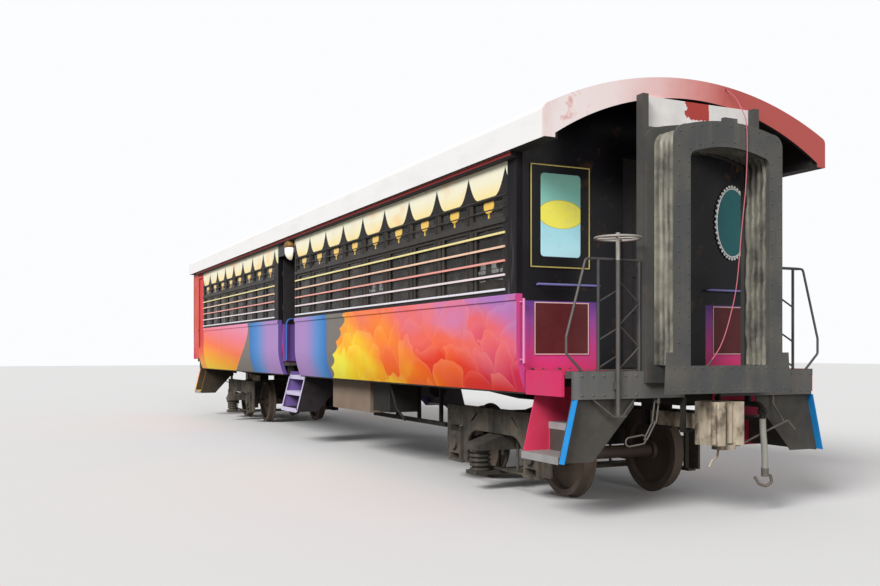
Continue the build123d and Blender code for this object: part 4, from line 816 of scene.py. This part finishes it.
def side_paint():
    """The painted sides: bands of colour below the windows, dark posts, a cream letterboard."""
    paint = Paint("side_paint", 0.5, 0.0, 0.05)
    x, z = paint.x, paint.z
    height = paint.span(z, wall_bottom_z, paint_top_z)

    # Near section: a cool band beside the middle entrance, bare grey, then the scales past a wavy edge
    cool = paint.ramp(paint.span(x, door_near_x, near_cool_end), [
        (0.0, lilac), (0.35, lilac), (0.75, sky_blue), (1.0, deep_blue)])
    grey = paint.clouds((0.17, 0.16, 0.14), (0.24, 0.21, 0.19), 3.0)
    edge = warm_start + height * 0.75 + abs((z * 18.0).sine()) * 0.12
    near_lower = paint.mix(x > edge, grey, scale_colours(paint, height))
    near_lower = paint.mix(x < near_cool_end, near_lower, cool)

    # Far section: the same cool band, then a warm field with a curved edge
    far_cool = paint.ramp(paint.span(x, far_cool_start, door_far_x), [
        (0.0, deep_blue), (0.3, sky_blue), (0.65, lilac), (1.0, lilac)])
    fan = height * 0.75 + paint.span(x, -6.6, -2.5, -0.08, 0.27)
    fan_colour = paint.ramp(fan, [
        (0.0, (1.0, 0.66, 0.04)), (0.22, (1.0, 0.4, 0.03)), (0.45, (0.94, 0.2, 0.08)),
        (0.7, (0.88, 0.22, 0.27)), (1.0, (0.8, 0.33, 0.52))])
    curved_edge = far_warm_end - (1.0 - height) ** 2.0 * 1.3
    far_lower = paint.mix(x < curved_edge, grey, fan_colour)
    far_lower = paint.mix(x > far_cool_start, far_lower, far_cool)
    lower = paint.mix(x > 0.0, far_lower, near_lower)

    # Window zone, and a letterboard that dark cusps rise into at the posts
    cusp = (1.0 - from_post(paint) / 0.2).at_least(0.0)
    notch = light_top_z + cusp ** 2.0 * 0.24
    blush = paint.noise(1.6, 3.0, stretch=(1, 1, 2))
    board = paint.mix(paint.span(z, light_top_z, light_top_z + 0.16), (0.98, 0.8, 0.36), (0.95, 0.91, 0.7))
    board = paint.mix(paint.span(blush, 0.52, 0.66, 0.0, 0.55), board, (1.0, 0.6, 0.28))
    board = paint.mix(paint.patches(2.6, 2.0, 0.66, 0.7, 0.7), board, (0.8, 0.12, 0.08))
    dark = paint.clouds(near_black, worn_black, 30.0)
    skin = paint.mix(z > paint_top_z, lower, paint.mix(z > notch, dark, board))

    # The last stretch is red above and orange at its foot, and the near corner post is near black with pale
    # painted highlight streaks
    end_red = paint.ramp(paint.span(z, 1.2, 1.7), [
        (0.0, (0.95, 0.42, 0.08)), (0.5, (0.85, 0.12, 0.06)), (1.0, (0.72, 0.06, 0.06))])
    skin = paint.mix(x < far_run_end, skin, end_red)
    corner_post = (x > near_wall_x - 0.16) & (z > paint_top_z)
    # Pale streaks drawn out up the corner post are painted highlights.
    painted_highlights = paint.patches(16.0, 2.0, 0.6, 0.72, 0.6, stretch=(1.0, 1.0, 0.05))
    skin = paint.mix(corner_post, skin, paint.mix(painted_highlights, near_black, (0.24, 0.24, 0.27)))

    # The inside, and the walls' ends: pink at the coach's ends, dark purple by the entrance
    inside = paint.clouds((0.09, 0.07, 0.05), (0.14, 0.11, 0.08), 12.0)
    colour = paint.mix(paint.outward(1) > 0.3, inside, skin)
    edge_on = abs(paint.facing(0)) > 0.7
    past_end = abs(x) > near_wall_x - 0.004
    edge_low = z < paint_top_z
    colour = paint.mix(edge_on & past_end, colour, paint.mix(edge_low, near_black, (0.62, 0.07, 0.26)))
    by_entrance = edge_on & (abs(x) < entrance_half)
    colour = paint.mix(by_entrance, colour, paint.mix(edge_low, near_black, (0.15, 0.09, 0.32)))
    grime = paint.patches(3.5, 6.0, 0.5, 0.8, 0.1, stretch=(1, 1, 0.25))
    paint.bump(paint.noise(1.3, 2.0), 0.25, 0.01)
    return paint.finish(paint.mix(grime, colour, (0.2, 0.15, 0.13)))


def roof_paint():
    """Chalky white roof, a dark red line on the cornice, and end boards that fade from white to brick red."""
    paint = Paint("roof_paint", 0.7)
    board_x, cornice_line_z = 7.661, 3.163
    streak = paint.noise(5.0, 5.0, stretch=(0.25, 1.0, 1.0))
    white = paint.mix(paint.span(streak, 0.5, 0.8, 0.0, 0.25), (0.91, 0.9, 0.885), (0.62, 0.59, 0.57))
    across = paint.y + (paint.noise(2.5, 5.0) - 0.5) * 0.5
    fade = paint.ramp(paint.span(across, -1.7, 0.5), [
        (0.0, (0.8, 0.6, 0.58)), (0.12, (0.87, 0.78, 0.76)), (0.36, (0.86, 0.72, 0.7)),
        (0.58, (0.8, 0.52, 0.5)), (0.76, (0.68, 0.28, 0.26)), (0.9, (0.54, 0.14, 0.125)),
        (1.0, (0.46, 0.1, 0.09))])
    pink = paint.patches(3.2, 5.0, 0.6, 0.66, 0.75) * (paint.y < -0.2)
    fade = paint.mix(pink, fade, (0.74, 0.33, 0.32))
    distance = abs(paint.x)
    colour = paint.mix(distance > board_x, white, fade)
    cornice = paint.mix(paint.z < cornice_line_z, (0.26, 0.035, 0.03), near_black)
    colour = paint.mix(paint.z < wall_top_z - 0.002, colour, cornice)

    # Painted shade on the faces that look down, in or back, and on the end wall behind the board
    behind_board = (paint.outward(0) > 0.5) & (distance < board_x + 0.02)
    turned_in = (paint.outward(1) < -0.05) | (paint.outward(0) < -0.5)
    painted_shade = (paint.facing(2) < -0.2) | turned_in | behind_board
    paint.bump(paint.noise(60.0), 0.1, 0.004)
    return paint.finish(paint.mix(painted_shade, colour, (0.03, 0.026, 0.025)))


def end_paint():
    """The end walls: near black above, purple to pink at the apron's height."""
    paint = Paint("end_paint", 0.25, 0.0, 0.18)
    apron = paint.ramp(paint.span(paint.z, 1.25, 1.88), [
        (0.0, (0.72, 0.045, 0.15)), (0.35, (0.62, 0.06, 0.27)), (0.75, (0.34, 0.08, 0.36)),
        (1.0, (0.14, 0.05, 0.28))])
    brown = paint.patches(4.5, 3.0, 0.6, 0.72, 0.6)
    dark = paint.mix(brown, near_black, (0.085, 0.045, 0.02))
    beside_door, low = abs(paint.y) > 0.64, paint.z < 1.89
    colour = paint.mix(beside_door & low, dark, apron)
    colour = paint.mix(paint.patches(2.0, 4.0, 0.5, 0.8, 0.1), colour, (0.1, 0.07, 0.08))
    paint.bump(paint.noise(2.0), 0.15, 0.006)
    return paint.finish(colour)


def door_paint():
    """Folded entrance doors: dark above, purple below."""
    paint = Paint("door_paint", 0.5)
    dark = paint.clouds((0.02, 0.018, 0.02), (0.05, 0.045, 0.045), 16.0)
    purple = paint.clouds((0.16, 0.08, 0.34), (0.22, 0.12, 0.42), 5.0)
    paint.bump(paint.noise(4.0), 0.15, 0.006)
    return paint.finish(paint.mix((abs(paint.x) < entrance_half) & (paint.z < 1.88), dark, purple))


def glass():
    """Dusty window glass that lets the dark inside show, with a yellow drop painted on each fanlight."""
    paint = Paint("window_glass", 0.08, 0.0, 0.2)
    paint.shader.inputs["IOR"].default_value = 1.5
    dust = paint.span(paint.noise(4.0, 6.0), 0.45, 0.8, 0.04, 0.5)
    from_middle = bay_pitch / 2 - from_post(paint)
    drop_z = 2.8
    drop = (from_middle / 0.1) ** 2.0 + ((paint.z - drop_z) / 0.075) ** 2.0 < 1.0
    stem = (from_middle < 0.016) & (paint.z > transom_z + 0.05) & (paint.z < drop_z)
    painted = drop | stem
    clear = paint.mix(dust, (0.03, 0.027, 0.024), (0.22, 0.19, 0.15))
    paint.set(paint.shader.inputs["Alpha"], paint.span(dust, 0.0, 1.0, 0.3, 0.75).at_least(painted))
    return paint.finish(paint.mix(painted, clear, (0.95, 0.58, 0.08)), paint.span(dust, 0.0, 1.0, 0.06, 0.5))


def rail_paint():
    """The guard rails, each row in its own pale colour."""
    paint = Paint("guard_rail_paint", 0.35)
    rows = [(0.0, (0.82, 0.8, 0.86)), (0.2, (0.88, 0.74, 0.76)), (0.42, (0.86, 0.36, 0.3)),
            (0.62, (0.92, 0.6, 0.42)), (0.84, (0.9, 0.78, 0.34))]
    colour = paint.ramp(paint.span(paint.z, 1.95, 2.56), rows, smooth=False)
    worn = paint.patches(25.0, 5.0, 0.55, 0.75, 0.5)
    return paint.finish(paint.mix(worn, colour, (0.35, 0.3, 0.26)))


def step_paint():
    """The platform steps: crimson by the wall, dark stringers with blue flanges, and pale treads."""
    paint = Paint("step_paint", 0.55)
    flange_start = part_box("steps_near")[1][0] - 0.071
    distance = abs(paint.x)
    dark = paint.clouds((0.045, 0.043, 0.04), (0.11, 0.1, 0.085), 8.0)
    crimson = paint.clouds((0.68, 0.03, 0.085), (0.74, 0.07, 0.15), 5.0)
    tread = paint.clouds((0.36, 0.35, 0.34), (0.22, 0.21, 0.2), 20.0)
    blue = paint.clouds((0.012, 0.24, 0.66), (0.03, 0.32, 0.74), 9.0)
    colour = paint.mix(distance < near_wall_x + 0.04, dark, crimson)
    colour = paint.mix(paint.facing(2) > 0.7, colour, tread)
    paint.bump(paint.noise(50.0), 0.2, 0.003)
    return paint.finish(paint.mix(distance > flange_start, colour, blue))


def far_step_paint():
    """The far steps: orange over yellow on their edges, dark brown on the faces along the coach."""
    paint = Paint("far_step_paint", 0.5)
    warm = paint.mix(paint.span(paint.z, 0.58, 0.9), (0.95, 0.56, 0.05), (0.9, 0.26, 0.03))
    dark = paint.clouds((0.03, 0.025, 0.02), (0.09, 0.07, 0.05), 8.0)
    return paint.finish(paint.mix(abs(paint.facing(0)) > 0.7, warm, dark))


def mid_step_paint():
    """The middle steps: purple stringers, the near one black outside, with pale nosings and black painted
    shade between.
    """
    paint = Paint("mid_step_paint", 0.5)
    purple = paint.clouds((0.17, 0.1, 0.36), (0.26, 0.18, 0.42), 6.0)
    pale = paint.clouds((0.62, 0.56, 0.74), (0.4, 0.35, 0.5), 10.0)
    black = paint.clouds((0.012, 0.011, 0.013), (0.05, 0.04, 0.045), 8.0)
    above_tread = (paint.z - (lowest_tread_z - nosing_height)) % tread_rise
    # Between the stringers the faces are black as painted shade under the treads, with pale bands at the
    # nosings.
    shade_and_nosings = paint.mix((above_tread < nosing_height) & (paint.z < 1.0), black, pale)
    low_x, high_x = mid_steps_low[0], mid_steps_high[0]
    between = (paint.x > low_x + 0.014) & (paint.x < high_x - 0.014)
    outer_face = (paint.facing(0) > 0.7) & (paint.x > high_x - 0.002)
    return paint.finish(paint.mix(outer_face, paint.mix(between, purple, shade_and_nosings), black))


def panel_paint():
    """The end wall's panels: black round the sign, teal on the oval, maroon below."""
    paint = Paint("panel_paint", 0.25, 0.0, 0.18)
    patch = paint.patches(5.0, 4.0, 0.6, 0.75, 0.7)
    black = paint.mix(patch, (0.012, 0.011, 0.012), (0.1, 0.05, 0.03))
    teal = paint.clouds((0.018, 0.13, 0.15), (0.035, 0.19, 0.19), 6.0, 4.0)
    maroon = paint.clouds((0.085, 0.012, 0.015), (0.14, 0.03, 0.03), 5.0, 4.0)
    return paint.finish(paint.mix(paint.z > 2.1, maroon, paint.mix(paint.y > 0.0, black, teal)))


def sign_paint():
    """A blank sign: green at its top, pale blue at its foot and a plain yellow oval between."""
    paint = Paint("sign_paint", 0.35)
    middle_y, middle_z = sum(plate_y) / 2, sum(plate_z) / 2 + 0.01
    ground = paint.ramp(paint.span(paint.z, *plate_z), [
        (0.0, (0.52, 0.84, 0.92)), (0.45, (0.38, 0.76, 0.84)), (0.65, (0.27, 0.6, 0.5)),
        (1.0, (0.22, 0.48, 0.4))])
    reach = (abs(paint.y - middle_y) / 0.235) ** 2.0 + (abs(paint.z - middle_z) / 0.125) ** 2.0
    colour = paint.mix(reach < 1.08, ground, (0.55, 0.45, 0.1))
    colour = paint.mix(reach < 1.0, colour, (0.95, 0.87, 0.13))
    return paint.finish(paint.mix(paint.patches(12.0, 4.0, 0.55, 0.8, 0.25), colour,
                                  (0.5, 0.5, 0.42)))


def header_paint():
    """Dark boards over the middle entrances."""
    paint = Paint("header_paint", 0.4)
    return paint.finish(paint.clouds(near_black, worn_black, 14.0))


def lamp_glass():
    """Opal lamp glass, warm towards its foot."""
    paint = Paint("lamp_glass", 0.2, 0.0, 0.4)
    colour = paint.mix(paint.span(paint.z, 2.86, 3.02), (0.98, 0.9, 0.62), (0.96, 0.95, 0.92))
    paint.set(paint.shader.inputs["Emission Color"], colour)
    paint.shader.inputs["Emission Strength"].default_value = 0.25
    return paint.finish(colour)


def gangway_paint():
    """Grey steel posts and frames, with a white board above that carries a red patch."""
    paint = Paint("gangway_frames", 0.55, 0.1)
    board_low_z, board_half, board_face_x = 3.36, 0.589, 7.7135
    patch_half, patch_low_z = 0.13, 3.49
    steel = paint.clouds((0.05, 0.052, 0.052), (0.11, 0.105, 0.095), 3.0, 6.0)
    rust = paint.patches(7.0, 6.0, 0.6, 0.75, 0.5)
    steel = paint.mix(rust, steel, (0.16, 0.1, 0.06))
    white = paint.clouds((0.84, 0.82, 0.8), (0.6, 0.57, 0.54), 7.0, 5.0)
    ragged = (paint.noise(14.0, 4.0) - 0.5) * 0.12
    ragged_y = paint.y + ragged
    patch = (ragged_y > -patch_half) & (ragged_y < patch_half) & (paint.z + ragged > patch_low_z)
    white = paint.mix(patch, white, (0.42, 0.06, 0.05))
    board = (abs(paint.y) < board_half) & (paint.z > board_low_z) & (abs(paint.x) < board_face_x)
    paint.bump(paint.noise(45.0), 0.15, 0.004)
    return paint.finish(paint.mix(board, steel, white))


def rod_paint():
    """Grey rods, with lilac blue handrails and pink corner rods on the near end wall."""
    paint = Paint("grab_rods", 0.4, 0.2)
    grey = paint.clouds(steel_grey, rubbed_grey, 6.0)
    lilac_blue = paint.clouds((0.16, 0.17, 0.46), (0.28, 0.27, 0.52), 9.0)
    level = (paint.z > 1.99) & (paint.z < 2.08)
    by_wall = abs(paint.x) < near_wall_x + 0.12
    colour = paint.mix(level & by_wall, grey, lilac_blue)
    return paint.finish(paint.mix(by_wall & (paint.z < 1.95), colour, (0.72, 0.26, 0.46)))


def brake_paint():
    """The handbrake: a dark column under a hand wheel rubbed pale."""
    paint = Paint("handbrake", 0.45, 0.2)
    grey = paint.clouds(steel_grey, rubbed_grey, 6.0)
    return paint.finish(paint.mix(paint.z > 2.2, grey, (0.34, 0.31, 0.28)))


def box_paint():
    """Boxes under the floor: a dusty tan one and a black one beside it."""
    paint = Paint("box_paint", 0.8)
    tan = paint.clouds((0.17, 0.12, 0.085), (0.3, 0.23, 0.18), 2.5, 6.0)
    black = paint.clouds((0.012, 0.012, 0.013), (0.04, 0.036, 0.03), 5.0, 5.0)
    paint.bump(paint.noise(50.0), 0.2, 0.004)
    return paint.finish(paint.mix(paint.x > 2.8, tan, black))


def coupler_iron():
    """Worn cast iron, rubbed pale and rusty in patches that run down it."""
    paint = Paint("coupler_iron", 0.75, 0.1)
    colour = paint.ramp(paint.noise(9.0, 6.0, stretch=(1.0, 1.0, 0.45)), [
        (0.32, (0.06, 0.052, 0.044)), (0.42, (0.2, 0.16, 0.12)), (0.5, (0.38, 0.32, 0.24)),
        (0.64, (0.5, 0.43, 0.33))])
    rust = paint.patches(15.0, 5.0, 0.56, 0.7, 0.7)
    paint.bump(paint.noise(40.0), 0.35, 0.005)
    return paint.finish(paint.mix(rust, colour, (0.15, 0.07, 0.035)))


def canvas():
    """Weathered bellows canvas with a plain weave."""
    paint = Paint("bellows_canvas", 0.45, 0.0, 0.4)
    cloud = paint.span(paint.noise(3.5, 6.0), 0.35, 0.68)
    weave = paint.add("TexWave", Vector=paint.place, Scale=220.0, Distortion=1.0).outputs["Fac"]
    paint.bump(weave, 0.2, 0.002)
    return paint.finish(paint.mix(cloud, (0.085, 0.08, 0.068), (0.36, 0.34, 0.27)))


ends, sides = ("near", "far"), ("left", "right")
show(side_paint(), *[f"side_wall_{end}_{side}" for end in ends for side in sides])
show(roof_paint(), "roof")
show(end_paint(), "end_wall_near", "end_wall_far", "far_bulkhead", "vestibule_partitions")
show(door_paint(), "mid_door_left", "mid_door_right", "end_door_near", "end_door_far")
show(glass(), "window_glass")
show(rail_paint(), "guard_rails")
show(step_paint(), "steps_near")
show(far_step_paint(), "steps_far")
show(mid_step_paint(), "steps_mid")
show(canvas(), "bellows_near", "bellows_far")
show(panel_paint(), "end_panels")
show(sign_paint(), "sign_panel")
show(header_paint(), "entrance_headers")
show(lamp_glass(), "lamp_glasses")
show(gangway_paint(), "gangway_frames")
show(rod_paint(), "grab_rods")
show(brake_paint(), "handbrake")
show(box_paint(), "battery_boxes")
show(coupler_iron(), "coupler_near", "coupler_far")

# Plain finishes: name, colour, dirt, the settings of weathered() that follow them, and the pieces
bogie_nodes = [f"{kind}_{end}" for end in ends
               for kind in ("bogie_frame", "bolster", "springs", "axleboxes", "bogie_bolts")]
plain_finishes = (
    ("lamp_cap", (0.26, 0.14, 0.04), (0.12, 0.07, 0.03), (0.5, 0.4, 0.3), ["lamp_caps"]),
    ("sign_gold", (0.62, 0.5, 0.16), (0.3, 0.22, 0.08), (0.4, 0.35, 0.4), ["sign_frame"]),
    ("panel_line", (0.8, 0.52, 0.5), (0.5, 0.3, 0.3), (0.4, 0.5), ["panel_trim"]),
    ("silver_trim", (0.62, 0.62, 0.6), (0.32, 0.3, 0.28), (0.4, 0.35, 0.5), ["oval_rim", "oval_beads"]),
    ("sash_paint", (0.035, 0.032, 0.03), (0.1, 0.09, 0.075), (0.5, 0.5), ["window_sashes", "fan_rails"]),
    ("blue_tube", (0.05, 0.16, 0.5), (0.12, 0.16, 0.34), (0.4, 0.35),
     [f"door_handrail_{side}" for side in sides]),
    ("pale_edge", (0.62, 0.56, 0.74), (0.4, 0.35, 0.5), (0.4, 0.5), ["mid_step_edges", "mid_nosings"]),
    ("tread_edge", (0.36, 0.35, 0.35), (0.2, 0.19, 0.18), (0.5, 0.6), ["end_nosings"]),
    ("red_door", (0.72, 0.1, 0.07), (0.45, 0.05, 0.04), (), [f"vestibule_door_{side}" for side in sides]),
    ("floor_covering", (0.1, 0.09, 0.085), (0.2, 0.18, 0.16), (), ["floor"]),
    ("seat_covering", (0.1, 0.05, 0.035), (0.16, 0.11, 0.08), (0.4, 0.45, 0.0, 160.0, 0.25),
     ["seat_cushions"]),
    # The underframe steel is near black: partly its own dark paint, partly painted shade under the floor.
    ("underframe_steel", (0.022, 0.02, 0.018), (0.07, 0.06, 0.05), (0.6, 0.8),
     ["underframe", "draw_gear", "brake_pipes", "brake_equipment"]),
    ("beam_paint", (0.115, 0.117, 0.115), (0.2, 0.17, 0.14), (0.6, 0.55), ["headstocks", "headstock_bolts"]),
    ("rail_steel", steel_grey, (0.16, 0.14, 0.12), (0.5, 0.45, 0.3),
     ["platform_railings", "flap_hinges", "seat_stands"]),
    ("gangway_steel", (0.078, 0.08, 0.079), (0.19, 0.165, 0.13), (0.5, 0.55),
     ["gangway_face_plates", "face_rivets"]),
    ("link_iron", (0.13, 0.12, 0.11), (0.3, 0.24, 0.18), (0.7, 0.7, 0.3),
     ["uncoupling_rods", "safety_links", "hose_coupling_near", "hose_coupling_far"]),
    ("bogie_steel", (0.055, 0.05, 0.043), (0.2, 0.17, 0.13), (0.8, 0.85), bogie_nodes),
    ("wheel_steel", (0.12, 0.09, 0.07), (0.2, 0.15, 0.12), (0.6, 0.6, 0.3),
     [f"wheelset_{number}" for number in range(1, 5)]),
    ("hose_rubber", (0.34, 0.33, 0.29), (0.2, 0.19, 0.17), (0.5, 0.85), ["hose_near", "hose_far"]),
    ("cord_fibre", (0.62, 0.17, 0.21), (0.42, 0.12, 0.15), (0.5, 0.9), ["cord_red"]),
    ("flap_paint", (0.66, 0.035, 0.13), (0.5, 0.1, 0.16), (0.4, 0.5),
     [f"platform_flap_{side}" for side in sides]),
)
for name, colour, dirt, settings, pieces in plain_finishes:
    show(weathered(name, colour, dirt, *settings), *pieces)


# Floor and lights
def add_floor():
    """A pale floor that shows pale but throws little light up at the coach."""
    reach = 90
    corners = [(-reach, -reach, 0), (reach, -reach, 0), (reach, reach, 0), (-reach, reach, 0)]
    mesh = bpy.data.meshes.new("floor_plane")
    mesh.from_pydata(corners, [], [(0, 1, 2, 3)])
    ground = new_object("floor_plane", mesh)
    ground.location.z = -0.001
    paint = Paint("floor_plane", 0.9)
    pale = paint.clouds((0.8, 0.79, 0.78), (0.82, 0.81, 0.8), 0.4)
    ground.data.materials.append(paint.finish(paint.mix(paint.seen(), (0.2, 0.19, 0.18), pale)))
    ground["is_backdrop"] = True


def add_lights():
    """A white studio that lights the coach softly, with two broad suns."""
    world = bpy.data.worlds.new("studio")
    sky = ShaderNodes(world)
    background = sky.tree.nodes["Background"]
    sky.set(background.inputs["Strength"], sky.span(sky.seen(), 0.0, 1.0, 0.38, 1.0))
    sky.set(background.inputs["Color"], (0.97, 0.98, 1.0))
    bpy.context.scene.world = world

    for name, direction, power in (("key", (-0.45, 0.8, -0.62), 2.9), ("fill", (-1.0, 0.15, -0.25), 0.9)):
        lamp = bpy.data.lights.new(name, "SUN")
        lamp.energy = power
        lamp.angle = radians(25)
        new_object(name, lamp).rotation_euler = Vector(direction).to_track_quat("-Z", "Y").to_euler()


add_floor()
add_lights()
bpy.context.scene.view_settings.view_transform = "Standard"

bpy.context.view_layer.update()
low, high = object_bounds()
